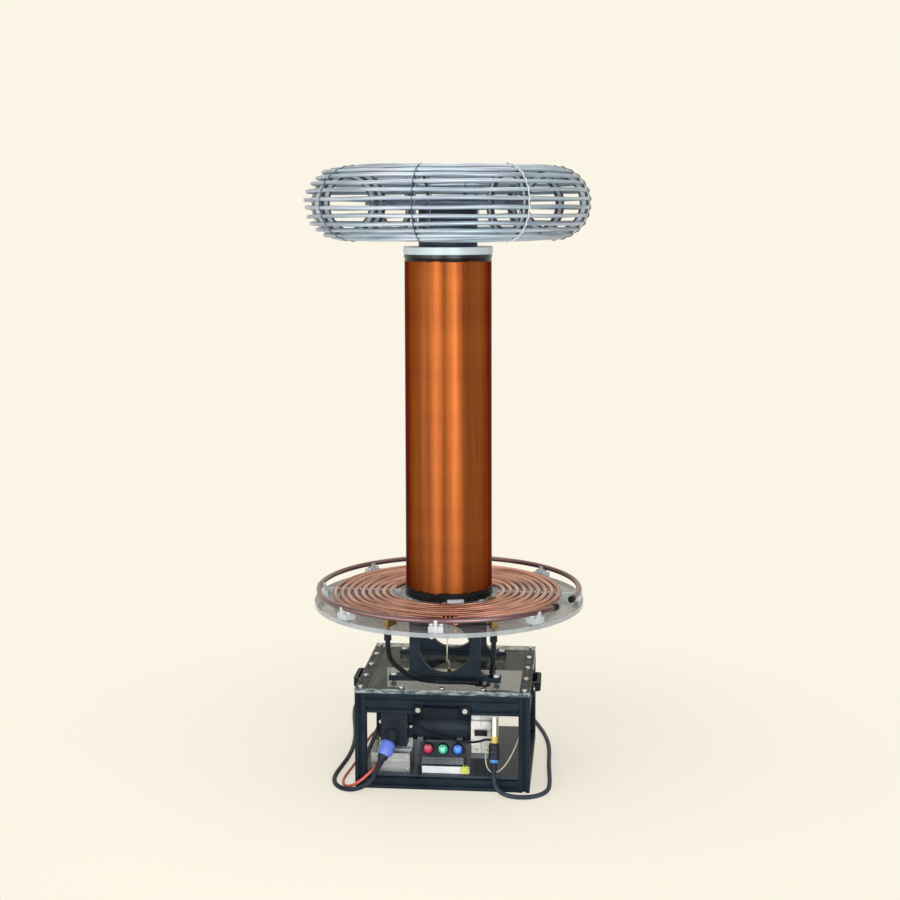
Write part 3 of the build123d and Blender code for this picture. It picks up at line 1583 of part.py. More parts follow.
def make_earth_stud():
    """The small terminal on the supply case that the red cord leaves."""
    front = supply_y - supply_depth / 2
    stud = Pos(-120.0, front - 2.0, 38.0) * Rot(90, 0, 0) * Cylinder(4.4, 4.0)
    return stud


def make_power_far_plug(end):
    """The mains plug at the far end: a flat round-ended body with two pins."""
    half = upper_layer_height(power_cord_diameter)
    body = box_between((end.X - 9.5, end.Y - 34.0, 0.2), (end.X + 9.5, end.Y, 2 * half))
    body = fillet(body.edges().filter_by(Axis.Y), 5.0)
    for side in (-1, 1):
        pin = Pos(end.X, end.Y - 34.0 - 9.5, half + side * 6.5) * Rot(90, 0, 0) * Cylinder(2.4, 19.0)
        body += pin
    return body


def upper_layer_height(diameter):
    """The height of the middle of a cord in the upper layer of its coil."""
    return diameter / 2 + diameter + cord_coil_gap


def make_signal_far_plug(end):
    """The round signal connector at the far end."""
    height = upper_layer_height(signal_cord_diameter)
    way = Vector(0, -1, 0)
    plug = along_axis(Vector(*end), way, 0, 12.0, 7.0, height - 0.2)
    plug += along_axis(Vector(*end), way, 12.0, 36.0, height - 0.2, height - 0.2)
    return plug


def make_earth_far_clip(end):
    """The earth clip at the far end of the red cord: a boot and two jaws."""
    height = upper_layer_height(earth_cord_diameter)
    way = Vector(0, -1, 0)
    clip = along_axis(Vector(*end), way, 0, 16.0, 4.2, height - 0.2)
    clip += box_between((end.X - 6.0, end.Y - 44.0, end.Z - 5.0), (end.X + 6.0, end.Y - 15.0, end.Z - 1.0))
    clip += box_between((end.X - 6.0, end.Y - 44.0, end.Z + 1.0), (end.X + 6.0, end.Y - 15.0, end.Z + 5.0))
    return clip


# ---------------------------------------------------------------- all pieces

save(make_posts(), "corner_posts")
save(make_beam_ring(beam_side, beam_side / 2), "lower_beams")
save(make_beam_ring(upper_beam_height, upper_beam_middle), "upper_beams")
save(make_base_plate(), "base_plate")
save(make_top_plate(), "top_plate")
save(group(make_edge_bolts()), "top_plate_bolts")
save(make_handles(), "carry_handles")
save(group(make_handle_screws() + make_inlet_screws() + make_lug_bolts()), "bright_screws")
save(make_stand_plate(-1), "stand_front")
save(make_stand_plate(1), "stand_rear")
save(group(make_stand_bolts() + make_comb_bolts()), "nylon_bolts")

save(make_disc(), "primary_disc")
save(make_coil(), "primary_coil")
save(group(make_combs() + make_comb_blocks()), "primary_combs")
save(make_rail(), "strike_rail")
save(make_tap_clamp(), "tap_clamp")
save(group(make_rail_caps() + make_tap_bands() + make_ferrules()), "black_sleeves")
save(group(make_terminals() + make_eyelets() + [make_earth_stud()]), "brass_terminals")

save(make_seat(), "column_seat")
save(group([make_seat_block(), make_name_plate()]), "white_plates")
save(make_former(), "column_former")
save(make_winding(), "column_winding")
save(make_collars(), "column_collars")
save(make_top_cap(), "column_cap")

save(group([make_neck(), make_neck_plug()]), "neck_tube")
save(make_hub(), "cage_hub")
save(make_cage_rings(), "cage_rings")
save(make_ribs(), "cage_ribs")
save(make_ties(), "cage_ties")
save(make_centre_bolt(), "centre_bolt")

save(group([make_left_lead(), make_right_lead()]), "heavy_leads")
save(make_lugs(), "lead_lugs")
save(group([make_tap_lead(), make_harness()]), "thin_black_leads")
save(group([make_earth_wire(), make_sensor_wire()]), "pale_wires")

save(make_supply(), "supply_case")
save(group([make_inlet_bracket(), make_breaker_bracket(), make_signal_bracket()]), "sheet_brackets")
save(make_inlet(), "power_inlet")
save(make_capacitor(), "bus_capacitor")
save(make_cradles(), "capacitor_cradles")
save(group([make_panel()] + make_lamp_bodies()), "lamp_panel")
for lamp_name, lamp_x in zip(("lamp_red", "lamp_green", "lamp_blue"), lamp_xs()):
    save(make_lamp_lens(lamp_x), lamp_name)
save(make_strip(), "terminal_strip")
save(make_knob(), "earth_knob")
save(make_breaker(), "breaker_body")
save(make_lever(), "breaker_lever")
save(make_signal_socket(), "signal_socket")
save(make_signal_collar(), "signal_collar")

power_coil, power_out = wound_coil(
    "power coil", power_coil_centre, power_cord_diameter, power_coil_radius, power_half_turns, -1, coil_tail)
earth_coil, earth_out = wound_coil(
    "earth coil", earth_coil_centre, earth_cord_diameter, earth_coil_radius, earth_half_turns, -1, earth_tail)
signal_coil, signal_out = wound_coil(
    "signal coil", signal_coil_centre, signal_cord_diameter, signal_coil_radius, signal_half_turns, 1, coil_tail)
save(group([make_power_plug(), make_power_relief()]), "power_plug")
save(make_power_run(), "power_cord_run")
save(power_coil, "power_cord_coil")
save(make_power_far_plug(power_out), "power_cord_plug")
save(make_earth_run(), "earth_cord_run")
save(earth_coil, "earth_cord_coil")
save(make_earth_far_clip(earth_out), "earth_cord_clip")
save(group([make_signal_plug(), make_signal_ring(), make_signal_relief()]), "signal_plug")
save(make_signal_run(), "signal_cord_run")
save(signal_coil, "signal_cord_coil")
save(make_signal_far_plug(signal_out), "signal_cord_plug")
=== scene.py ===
# %% [markdown]
# # Dressing a tall resonant transformer
# The solid model of the apparatus comes from the imported frame: a driver box of slotted
# beams, a stand, a clear disc with a flat copper coil, a wound column and a cage of
# bent tube rings. This lesson gives every surface its finish and adds the soft and small
# pieces that a solid model leaves out. The frame is loaded first, because everything
# else is placed around it.

import math

import bmesh
import bpy
from mathutils import Matrix, Vector


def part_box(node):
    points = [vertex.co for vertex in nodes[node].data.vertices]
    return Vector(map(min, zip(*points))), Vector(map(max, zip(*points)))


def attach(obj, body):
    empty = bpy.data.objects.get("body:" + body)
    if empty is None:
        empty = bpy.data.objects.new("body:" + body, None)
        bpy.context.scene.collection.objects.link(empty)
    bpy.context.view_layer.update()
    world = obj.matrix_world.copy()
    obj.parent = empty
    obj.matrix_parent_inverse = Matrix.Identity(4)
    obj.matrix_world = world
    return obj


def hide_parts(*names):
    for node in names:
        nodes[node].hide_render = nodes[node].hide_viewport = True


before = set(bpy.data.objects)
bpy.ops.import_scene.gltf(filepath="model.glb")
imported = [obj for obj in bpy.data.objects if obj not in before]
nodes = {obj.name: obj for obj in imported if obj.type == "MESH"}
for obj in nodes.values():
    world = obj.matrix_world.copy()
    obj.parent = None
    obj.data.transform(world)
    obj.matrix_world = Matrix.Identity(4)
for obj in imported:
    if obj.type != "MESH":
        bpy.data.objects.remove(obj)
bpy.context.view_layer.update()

# %% [markdown]
# Sizes on this object are easiest to read in millimetres and Blender works in metres,
# and colours are easiest to read as they look on a screen, while shaders want linear
# values. Two small helpers keep that arithmetic out of the way.

# %% Units and colours
MM = 0.001


def metres(*places):
    """Points written in millimetres, in metres."""
    return [tuple(c * MM for c in place) for place in places]


def shade(red, green, blue):
    """A colour as it looks on screen, 0 to 255, in the linear values of a shader."""
    channels = [c / 255 for c in (red, green, blue)]
    linear = [c / 12.92 if c <= 0.04045 else ((c + 0.055) / 1.055) ** 2.4 for c in channels]
    return (*linear, 1.0)


# %% [markdown]
# ## Camera
# The apparatus was photographed from a little over two and a half metres away, slightly
# from the right, with the lens near the height of the terminal. A camera that is tilted
# a few degrees down, with a small shift for the rest, keeps the column upright.

# %% Camera
camera_place = Vector((0.2607, -2.7614, 1.0271))
camera_turn = 0.0930
camera_tilt = math.radians(5.0)
camera_roll = -0.0028
camera_lens = 60.44
camera_shift = -0.1142

camera_data = bpy.data.cameras.new("camera")
camera = bpy.data.objects.new("camera", camera_data)
bpy.context.scene.collection.objects.link(camera)
camera.location = camera_place
aim = Matrix.Rotation(camera_turn, 3, "Z") @ Matrix.Rotation(math.pi / 2 - camera_tilt, 3, "X")
camera.rotation_euler = (aim @ Matrix.Rotation(camera_roll, 3, "Z")).to_euler()
camera_data.lens = camera_lens
camera_data.sensor_width = 36.0
camera_data.shift_y = camera_shift
camera_data.clip_end = 100.0
bpy.context.scene.camera = camera
print("camera at", tuple(round(c, 3) for c in camera_place))

# %% [markdown]
# ## Shader arithmetic
# A finish is a web of nodes, and most of them only add, scale or mix. The class Flow
# wraps one socket so that ordinary Python signs build those nodes, and the class Finish
# holds one material: its method node makes any other node from a type, its settings and
# what goes into its sockets. Numbers that are the same all over a surface are set
# straight on the shader.


# %% Flow and Finish
class Flow:
    """One socket of a material; arithmetic on it adds Math nodes."""

    def __init__(self, finish, socket):
        self.finish = finish
        self.socket = socket

    def maths(self, operation, first, second=0.0):
        return self.finish.node("ShaderNodeMath", {"operation": operation}, {0: first, 1: second})

    def __add__(self, other):
        return self.maths("ADD", self, other)

    __radd__ = __add__

    def __sub__(self, other):
        return self.maths("SUBTRACT", self, other)

    def __rsub__(self, other):
        return self.maths("SUBTRACT", other, self)

    def __mul__(self, other):
        return self.maths("MULTIPLY", self, other)

    __rmul__ = __mul__

    def __pow__(self, other):
        return self.maths("POWER", self, other)

    def between(self, low, high, at_low=0.0, at_high=1.0):
        """The flow's stretch from low to high, spread over at_low to at_high."""
        limits = {0: self, 1: low, 2: high, 3: at_low, 4: at_high}
        return self.finish.node("ShaderNodeMapRange", {"clamp": True}, limits)


class Finish:
    """One material, with its Principled shader and the place on the piece."""

    def __init__(self, name, constants):
        self.material = bpy.data.materials.new(name)
        self.material.use_nodes = True
        self.tree = self.material.node_tree
        self.shader = self.tree.nodes["Principled BSDF"]
        for socket, value in constants.items():
            self.shader.inputs[socket].default_value = value
        self.place = self.node("ShaderNodeTexCoord", {}, {}, "Object")

    def node(self, kind, settings, sockets, output=0):
        """Any node: its type, its settings, then values or links for its sockets."""
        made = self.tree.nodes.new(kind)
        for key, value in settings.items():
            setattr(made, key, value)
        for key, value in sockets.items():
            if isinstance(value, Flow):
                self.tree.links.new(value.socket, made.inputs[key])
            else:
                made.inputs[key].default_value = value
        return Flow(self, made.outputs[output]) if len(made.outputs) else None

    def part(self, axis):
        """One coordinate of the place on the piece, in metres."""
        return self.node("ShaderNodeSeparateXYZ", {}, {0: self.place}, axis)

    def noise(self, scale, stretch=(1, 1, 1), detail=3.0, rough=0.55):
        """Cloudy noise, its features about one over scale metres, pulled long by stretch."""
        place = self.place
        if stretch != (1, 1, 1):
            place = self.node("ShaderNodeMapping", {}, {"Vector": place, "Scale": stretch})
        inputs = {"Vector": place, "Scale": scale, "Detail": detail, "Roughness": rough}
        return self.node("ShaderNodeTexNoise", {}, inputs)

    def mix(self, share, first, second):
        """The first colour, turning into the second as share goes from 0 to 1."""
        return self.node("ShaderNodeMix", {"data_type": "RGBA"}, {0: share, 6: first, 7: second}, 2)

    def give(self, socket, flow):
        self.tree.links.new(flow.socket, self.shader.inputs[socket])

    def bump(self, height, depth):
        """Relief: height is 0 to 1 and depth is its real size in metres."""
        normal = self.node("ShaderNodeBump", {}, {"Height": height, "Distance": depth, "Strength": 1.0}, "Normal")
        self.give("Normal", normal)


# %% [markdown]
# ## Finishes of metal and plastic
# Most real surfaces are one colour only at a glance. Extruded and brushed metal has
# streaks along its length, moulded plastic has a fine grain, and both carry cloudy
# handling marks that change how sharply they shine. Two recipes make nearly all of the
# finishes here from their own colours and scales.


# %% Two recipes
def streaked(name, light, dark, roughness, metallic=1.0, stretch=(1, 1, 1), relief=0.02, extra=None):
    """Drawn, extruded or brushed metal: streaks, clouds and fine scratches."""
    finish = Finish(name, {"Metallic": metallic, **(extra or {})})
    clouds = finish.noise(16.0, detail=4.0)
    streaks = finish.noise(210.0, stretch, detail=2.0)
    scratches = finish.noise(900.0, stretch, detail=1.0)
    share = (clouds * 0.6 + streaks * 0.5).between(0.38, 0.76)
    finish.give("Base Color", finish.mix(share, dark, light))
    finish.give("Roughness", roughness + (clouds - 0.5) * 0.22 + (scratches - 0.5) * 0.12)
    finish.bump(streaks * 0.6 + scratches * 0.4, relief * MM)
    return finish


def moulded(name, light, dark, roughness, grain=1300.0, relief=0.03, extra=None):
    """Moulded plastic or rubber: a fine even grain under faint handling marks."""
    finish = Finish(name, {"Metallic": 0.0, **(extra or {})})
    clouds = finish.noise(22.0, detail=4.0)
    fine = finish.noise(grain, detail=2.0)
    finish.give("Base Color", finish.mix(clouds.between(0.3, 0.72), dark, light))
    finish.give("Roughness", roughness + (clouds - 0.5) * 0.2)
    finish.bump(fine, relief * MM)
    return finish


# %% [markdown]
# The frame is black anodised extrusion with faint level lines. The stand and handles are
# black plastic with a satin skin. Fasteners are bright plated steel or white nylon. The
# supply case and the brackets are zinc-plated sheet with a spangle.

# %% Frame, stand and fasteners
LEVEL = (0.05, 0.05, 1.0)
UPRIGHT = (1.0, 1.0, 0.05)
ALONG_X = (0.05, 1.0, 1.0)
ALONG_Y = (1.0, 0.06, 1.0)
DULL = {"Specular IOR Level": 0.12}
black_beam = streaked("black_beam", shade(36, 50, 62), shade(18, 28, 38), 0.46, 0.0, LEVEL, 0.02, DULL)
black_post = streaked("black_post", shade(34, 46, 58), shade(16, 26, 36), 0.46, 0.0, UPRIGHT, 0.02, DULL)
stand_black = moulded("stand_black", shade(40, 52, 62), shade(24, 34, 43), 0.46, 700.0, extra=DULL)
handle_black = moulded("handle_black", shade(26, 33, 42), shade(12, 17, 24), 0.42, 900.0, extra=DULL)
bright_steel = streaked("bright_steel", shade(232, 234, 236), shade(176, 180, 186), 0.24)
white_nylon = moulded("white_nylon", shade(240, 243, 244), shade(222, 228, 230), 0.4, extra={"Coat Weight": 0.2})
zinc_sheet = streaked("zinc_sheet", shade(196, 200, 204), shade(140, 146, 152), 0.36, 0.85, LEVEL, 0.05)
floor_sheet = streaked("floor_sheet", shade(88, 97, 108), shade(48, 56, 66), 0.4, 0.2, ALONG_Y, extra=DULL)

# %% [markdown]
# ## Clear plates
# The top plate, the disc, the combs and the column's seat are clear acrylic. A plate
# shows what is behind it, a haze of fine scratches and, at a low angle, the bright room.
# Its sawn edges are pale. An alpha that rises with the angle and with the haze gives that
# look, and the frosted edge is a mask on the piece's own coordinates. The top plate has a
# dark green cast and little gloss, so that the black beams show through it.


# %% Clear acrylic
def clear_sheet(name, tint, body, edge_colour, edge_mask=None, edge_body=0.5, gloss=0.5):
    """A clear plate: body is how much of it is seen face on."""
    finish = Finish(name, {"IOR": 1.49, "Specular IOR Level": gloss, "Coat Weight": gloss, "Coat Roughness": 0.06})
    haze = finish.noise(34.0, detail=5.0, rough=0.6)
    scratches = finish.noise(520.0, (1.0, 0.12, 1.0), detail=1.0)
    facing = finish.node("ShaderNodeLayerWeight", {}, {"Blend": 0.25}, "Fresnel")
    alpha = body + facing * 0.34 + (haze - 0.5) * 0.16 + scratches.between(0.62, 0.74) * 0.1
    colour = finish.mix(haze.between(0.45, 0.8), tint, edge_colour)
    if edge_mask is not None:
        rim = edge_mask(finish)
        alpha = alpha + rim * edge_body
        colour = finish.mix(rim, colour, edge_colour)
    finish.give("Base Color", colour)
    finish.give("Alpha", alpha.between(0.0, 1.0))
    finish.give("Roughness", 0.08 + haze * 0.14)
    finish.bump(scratches, 0.01 * MM)
    return finish


def round_rim(radius):
    """A mask of the outermost millimetre of a round plate."""

    def mask(finish):
        x, y = finish.part("X"), finish.part("Y")
        return ((x * x + y * y) ** 0.5).between(radius - 0.0012, radius - 0.0002)

    return mask


def square_rim(half_width, half_depth):
    """A mask of a square plate's sawn edges, patchy where the saw left them clear."""

    def mask(finish):
        across = finish.part("X").maths("ABSOLUTE", finish.part("X"))
        along = finish.part("Y").maths("ABSOLUTE", finish.part("Y"))
        side = across.between(half_width - 0.001, half_width - 0.0002)
        edge = side.maths("MAXIMUM", side, along.between(half_depth - 0.001, half_depth - 0.0002))
        return edge * finish.noise(60.0, (1.0, 1.0, 3.0), detail=3.0).between(0.4, 0.6, 0.25, 1.0)

    return mask


disc_radius, seat_radius = 0.25, 0.088
plate_half_width, plate_half_depth = 0.157, 0.146
disc_clear = clear_sheet("disc_clear", shade(124, 130, 136), 0.36, shade(196, 204, 208), round_rim(disc_radius), 0.22)
plate_rim = square_rim(plate_half_width, plate_half_depth)
plate_clear = clear_sheet("plate_clear", shade(40, 64, 64), 0.3, shade(168, 182, 186), plate_rim, 0.5, 0.15)
comb_clear = clear_sheet("comb_clear", shade(232, 238, 240), 0.68, shade(250, 252, 252))
seat_clear = clear_sheet("seat_clear", shade(206, 216, 218), 0.3, shade(242, 246, 246), round_rim(seat_radius))

# %% [markdown]
# ## Copper
# The flat coil is bright copper tube with a pink cast. The strike rail is the same tube,
# long oxidised to a brown mauve. Both are bent round the column, so their streaks follow
# the angle round it, which two Math nodes work out from the place on the piece.

# %% Coil, rail and tap
TUBE_ROUND = 0.2
ALONG_BEND, ACROSS_BEND = 9.0, 170.0


def drawn_tube(name, light, other_light, dark, roughness, metallic):
    """Tube bent round the column, with faint streaks along its bend and a change of cast."""
    finish = Finish(name, {"Metallic": metallic})
    x, y, z = finish.part("X"), finish.part("Y"), finish.part("Z")
    around = x.maths("ARCTAN2", y, x) * TUBE_ROUND
    out = (x * x + y * y) ** 0.5
    along = finish.node("ShaderNodeCombineXYZ", {}, {0: around * ALONG_BEND, 1: out * ACROSS_BEND, 2: z * ACROSS_BEND})
    streaks = finish.node("ShaderNodeTexNoise", {}, {"Vector": along, "Scale": 1.0, "Detail": 4.0})
    cast = finish.noise(6.0, detail=1.0).between(0.35, 0.65)
    bright = finish.mix(cast, light, other_light)
    finish.give("Base Color", finish.mix(streaks.between(0.34, 0.62), dark, bright))
    finish.give("Roughness", roughness + (streaks - 0.5) * 0.25)
    finish.bump(streaks, 0.04 * MM)
    return finish


coil_copper = drawn_tube("coil_copper", shade(206, 152, 130), shade(192, 142, 126), shade(118, 76, 64), 0.22, 0.95)
rail_copper = drawn_tube("rail_copper", shade(150, 120, 122), shade(132, 106, 110), shade(92, 66, 70), 0.32, 0.8)
tap_copper = streaked("tap_copper", shade(214, 150, 118), shade(168, 104, 78), 0.34, 0.95)
brass = streaked("brass", shade(156, 134, 88), shade(104, 86, 54), 0.32, 0.95)

# %% [markdown]
# The column's winding is thousands of turns of hair-thin enamelled wire. Fine level
# grooves spread a highlight upwards into a stripe, which is what the shader's anisotropy
# does when it is turned a quarter. The pitch of the wire is relief, and long upright runs
# of thicker varnish change the colour. Black tape with a ragged edge holds both ends.

# %% Winding
wire_pitch = 0.00045
winding_low, winding_high = 0.340, 0.950


def wound_wire(name):
    constants = {"Anisotropic": 0.9, "Anisotropic Rotation": 0.25, "Specular Tint": (0.25, 0.2, 0.18, 1.0)}
    finish = Finish(name, constants)
    height = finish.part("Z")
    turns = height.maths("SINE", height * (2 * math.pi / wire_pitch)) * 0.5 + 0.5
    bands = finish.node("ShaderNodeTexNoise", {"noise_dimensions": "1D"}, {"W": height, "Scale": 190.0, "Detail": 3.0})
    slow = finish.node("ShaderNodeTexNoise", {"noise_dimensions": "1D"}, {"W": height, "Scale": 17.0, "Detail": 2.0})
    drips = finish.noise(30.0, (1.0, 1.0, 0.05), detail=2.0)
    runs = finish.noise(110.0, (1.0, 1.0, 0.025), detail=2.0)
    share = slow.between(0.3, 0.7) * 0.15 + drips.between(0.3, 0.7) * 0.45 + runs.between(0.3, 0.7) * 0.4
    colour = finish.mix(share, shade(112, 56, 28), shade(160, 90, 42))
    colour = finish.mix(turns * 0.2, colour, shade(90, 44, 24))
    ragged = finish.noise(70.0, (1.0, 1.0, 0.5), detail=3.0) * 0.009
    tape = (height + ragged).between(winding_low + 0.0062, winding_low + 0.0068, 1.0, 0.0)
    tape_top = (height + ragged).between(winding_high - 0.0022, winding_high - 0.0016)
    taped = tape + tape_top
    finish.give("Base Color", finish.mix(taped, colour, shade(20, 18, 20)))
    finish.give("Metallic", 0.95 - taped * 0.93)
    finish.give("Roughness", 0.31 + (bands - 0.5) * 0.05)
    finish.bump(turns * 0.9 + bands * 0.1, 0.02 * MM)
    return finish


winding_wire = wound_wire("winding_wire")
collar_gloss = {"Specular IOR Level": 0.3}
collar_tape = streaked("collar_tape", shade(34, 34, 38), shade(14, 14, 18), 0.26, 0.0, LEVEL, 0.04, collar_gloss)
former_tube = moulded("former_tube", shade(224, 222, 214), shade(196, 192, 184), 0.45)
cap_white = moulded("cap_white", shade(222, 236, 238), shade(196, 214, 218), 0.36, extra={"Coat Weight": 0.25})
neck_slate = moulded("neck_slate", shade(84, 94, 114), shade(56, 66, 84), 0.45, 800.0, extra=DULL)

# %% [markdown]
# ## Cage
# The rings of the terminal are pale anodised tube with the same drawn streaks. The ribs
# are pale plastic sheet with painted shade on their inner and outer edges, from a mask on
# the distance from the middle of the rib. The hub plate is darker.

# %% Cage finishes
cage_z = 1048.0
cage_major, cage_minor = 196.0, 63.0


def cut_rib(name):
    """Pale sheet with painted shade at its inner edge, inside the cage, and at its notched rim, where the rings sit.
    """
    finish = Finish(name, {"Coat Weight": 0.2, "Coat Roughness": 0.1})
    x, y, z = finish.part("X"), finish.part("Y"), finish.part("Z") - cage_z * MM
    out = (x * x + y * y) ** 0.5 - cage_major * MM
    reach = (out * out + z * z) ** 0.5
    clouds = finish.noise(40.0, detail=4.0)
    # Painted shade: the rib darkens at its inner edge and at its rim by the rings, broken up by cloudy noise.
    inner = reach.between((cage_minor - 13.5) * MM, (cage_minor - 10.5) * MM, 1.0, 0.0)
    outer = reach.between((cage_minor - 6.5) * MM, (cage_minor - 3.5) * MM)
    rib_edge_shade = (inner + outer + (clouds - 0.5) * 0.5).between(0.2, 0.8)
    face = finish.mix(clouds.between(0.3, 0.7), shade(176, 188, 198), shade(206, 216, 222))
    # The face mixes towards a painted shade colour where that mask is high.
    finish.give("Base Color", finish.mix(rib_edge_shade, face, shade(44, 52, 64)))
    finish.give("Roughness", 0.34 + (clouds - 0.5) * 0.2 + rib_edge_shade * 0.12)
    finish.bump(finish.noise(900.0, detail=2.0), 0.03 * MM)
    return finish

ring_lights = (shade(192, 216, 222), shade(206, 206, 220))
ring_tube = drawn_tube("ring_tube", *ring_lights, shade(140, 158, 174), 0.42, 0.3)
rib_sheet = cut_rib("rib_sheet")
hub_sheet = moulded("hub_sheet", shade(128, 138, 156), shade(88, 98, 118), 0.42, 700.0, extra=DULL)

# %% [markdown]
# ## Driver parts
# Inside the box each part has its own plastic: a black inlet and capacitor, a white
# breaker, coloured lamp lenses that glow a little at the middle, a black terminal row
# with pale screws, a yellow-green earth knob and blue plugs.

# %% Driver finishes
inlet_black = moulded("inlet_black", shade(44, 51, 61), shade(24, 30, 39), 0.46, 900.0, extra=DULL)
can_black = streaked("can_black", shade(54, 62, 74), shade(30, 37, 47), 0.46, 0.0, ALONG_X, 0.01, DULL)
cradle_grey = moulded("cradle_grey", shade(120, 126, 134), shade(92, 98, 106), 0.5)
panel_grey = moulded("panel_grey", shade(64, 70, 80), shade(36, 42, 52), 0.46, 500.0, 0.06, DULL)
strip_grey = moulded("strip_grey", shade(112, 116, 122), shade(70, 74, 80), 0.44)
breaker_white = moulded("breaker_white", shade(240, 240, 236), shade(216, 216, 210), 0.4)
plate_white = moulded("plate_white", shade(238, 240, 242), shade(214, 218, 224), 0.38, extra={"Coat Weight": 0.3})
lever_black = moulded("lever_black", shade(40, 42, 46), shade(22, 24, 28), 0.4, extra=DULL)
knob_yellow = moulded("knob_yellow", shade(216, 222, 92), shade(170, 180, 60), 0.4)
collar_yellow = moulded("collar_yellow", shade(226, 208, 92), shade(188, 166, 60), 0.4)
socket_silver = streaked("socket_silver", shade(190, 190, 186), shade(138, 136, 128), 0.34, 0.9, LEVEL)
plug_blue = moulded("plug_blue", shade(112, 142, 232), shade(78, 104, 206), 0.34, extra={"Coat Weight": 0.3})
ring_blue = moulded("ring_blue", shade(96, 172, 236), shade(58, 126, 214), 0.34, extra={"Coat Weight": 0.3})
plug_dark = moulded("plug_dark", shade(38, 44, 58), shade(18, 23, 33), 0.4, extra={"Specular IOR Level": 0.25})
sleeve_black = moulded("sleeve_black", shade(30, 33, 40), shade(14, 17, 22), 0.42, extra=DULL)


def lens(name, bright, deep, centre):
    """A ribbed coloured lens, palest where its lamp sits behind it."""
    finish = Finish(name, {"Coat Weight": 0.8, "Coat Roughness": 0.05, "Emission Strength": 0.35})
    x = finish.part("X") - centre[0]
    z = finish.part("Z") - centre[1]
    away = (x * x + z * z) ** 0.5
    glow = 1.0 - away.between(0.001, 0.0065)
    ribs = away.maths("SINE", away * 4200.0) * 0.5 + 0.5
    colour = finish.mix(glow * 0.8, deep, bright)
    finish.give("Base Color", colour)
    finish.give("Emission Color", colour)
    finish.give("Roughness", 0.16 + ribs * 0.1)
    finish.bump(ribs, 0.12 * MM)
    return finish


lamp_x, lamp_pitch, lamp_z = -0.001, 0.027, 0.065
lamp_lenses = {
    "lamp_red": lens("lens_red", shade(206, 44, 86), shade(140, 10, 44), (lamp_x - lamp_pitch, lamp_z)),
    "lamp_green": lens("lens_green", shade(150, 240, 210), shade(28, 150, 112), (lamp_x, lamp_z)),
    "lamp_blue": lens("lens_blue", shade(84, 160, 246), shade(12, 80, 190), (lamp_x + lamp_pitch, lamp_z)),
}

# %% [markdown]
# ## Cable jackets
# A jacket is soft plastic with a dull sheen, scuffed along its length. The earth cord is
# red, the signal cord is grey and the mains cord is dark.

# %% Jackets
power_jacket = moulded("power_jacket", shade(52, 60, 72), shade(26, 33, 44), 0.44, 600.0, 0.05, DULL)
signal_jacket = moulded("signal_jacket", shade(66, 76, 90), shade(38, 47, 60), 0.44, 600.0, 0.05, DULL)
earth_jacket = moulded("earth_jacket", shade(238, 122, 104), shade(196, 70, 56), 0.42, 600.0, 0.05)
lead_jacket = moulded("lead_jacket", shade(28, 35, 44), shade(12, 17, 24), 0.38, 600.0, 0.05, DULL)
pale_jacket = moulded("pale_jacket", shade(222, 216, 190), shade(184, 176, 146), 0.4, 600.0)
lacing_white = moulded("lacing_white", shade(240, 242, 244), shade(206, 212, 220), 0.55, 900.0, 0.1)
tie_dark = moulded("tie_dark", shade(86, 92, 106), shade(56, 62, 76), 0.5, 900.0)

# %% [markdown]
# ## Painting the frame's own nodes
# Where a node's shape is right it keeps its mesh and only its material slots change.

# %% Assign the finishes
finish_of = {
    "corner_posts": black_post, "lower_beams": black_beam, "upper_beams": black_beam,
    "base_plate": floor_sheet, "top_plate": plate_clear, "top_plate_bolts": bright_steel,
    "carry_handles": handle_black, "bright_screws": bright_steel,
    "stand_front": stand_black, "stand_rear": stand_black, "nylon_bolts": white_nylon,
    "primary_disc": disc_clear, "primary_coil": coil_copper, "primary_combs": comb_clear,
    "strike_rail": rail_copper, "tap_clamp": tap_copper, "black_sleeves": sleeve_black,
    "brass_terminals": brass, "column_seat": seat_clear, "white_plates": plate_white,
    "column_former": former_tube, "column_winding": winding_wire,
    "column_collars": collar_tape, "column_cap": cap_white, "neck_tube": neck_slate,
    "cage_hub": hub_sheet, "cage_rings": ring_tube, "cage_ribs": rib_sheet,
    "cage_ties": tie_dark, "centre_bolt": bright_steel, "heavy_leads": lead_jacket,
    "lead_lugs": sleeve_black, "thin_black_leads": lead_jacket, "pale_wires": pale_jacket,
    "supply_case": zinc_sheet, "sheet_brackets": zinc_sheet, "power_inlet": inlet_black,
    "bus_capacitor": can_black, "capacitor_cradles": cradle_grey, "lamp_panel": panel_grey,
    **lamp_lenses, "terminal_strip": strip_grey, "earth_knob": knob_yellow,
    "breaker_body": breaker_white, "breaker_lever": lever_black,
    "signal_socket": socket_silver, "signal_collar": collar_yellow, "power_plug": plug_blue,
    "power_cord_run": power_jacket, "power_cord_coil": power_jacket,
    "power_cord_plug": plug_dark, "earth_cord_run": earth_jacket,
    "earth_cord_coil": earth_jacket, "earth_cord_clip": sleeve_black,
    "signal_plug": plug_dark, "signal_cord_run": signal_jacket,
    "signal_cord_coil": signal_jacket, "signal_cord_plug": plug_dark,
}


def paint(piece, finish):
    """Gives a piece one finish in every slot it has."""
    if not piece.data.materials:
        piece.data.materials.append(finish.material)
    for slot in piece.material_slots:
        slot.material = finish.material


for name, piece in nodes.items():
    paint(piece, finish_of[name])
print("painted nodes:", len(nodes))

# %% [markdown]
# ## Free cords
# Three cords leave the box: the mains cord from the blue plug, a red earth cord from
# the supply case and a grey signal cord. Each is one smooth line through the points
# that the solid tube follows, so it runs straight out of its relief, sinks to the floor
# and goes round the box. What the photograph doesn't show is wound into a small coil
# behind the box. A coil is more points of the same line, twelve to a turn and a little
# outside the turn, because a smooth line cuts inside its points.


# %% Lay a line
COIL_STEPS = 6
OUTSIDE = 1.035


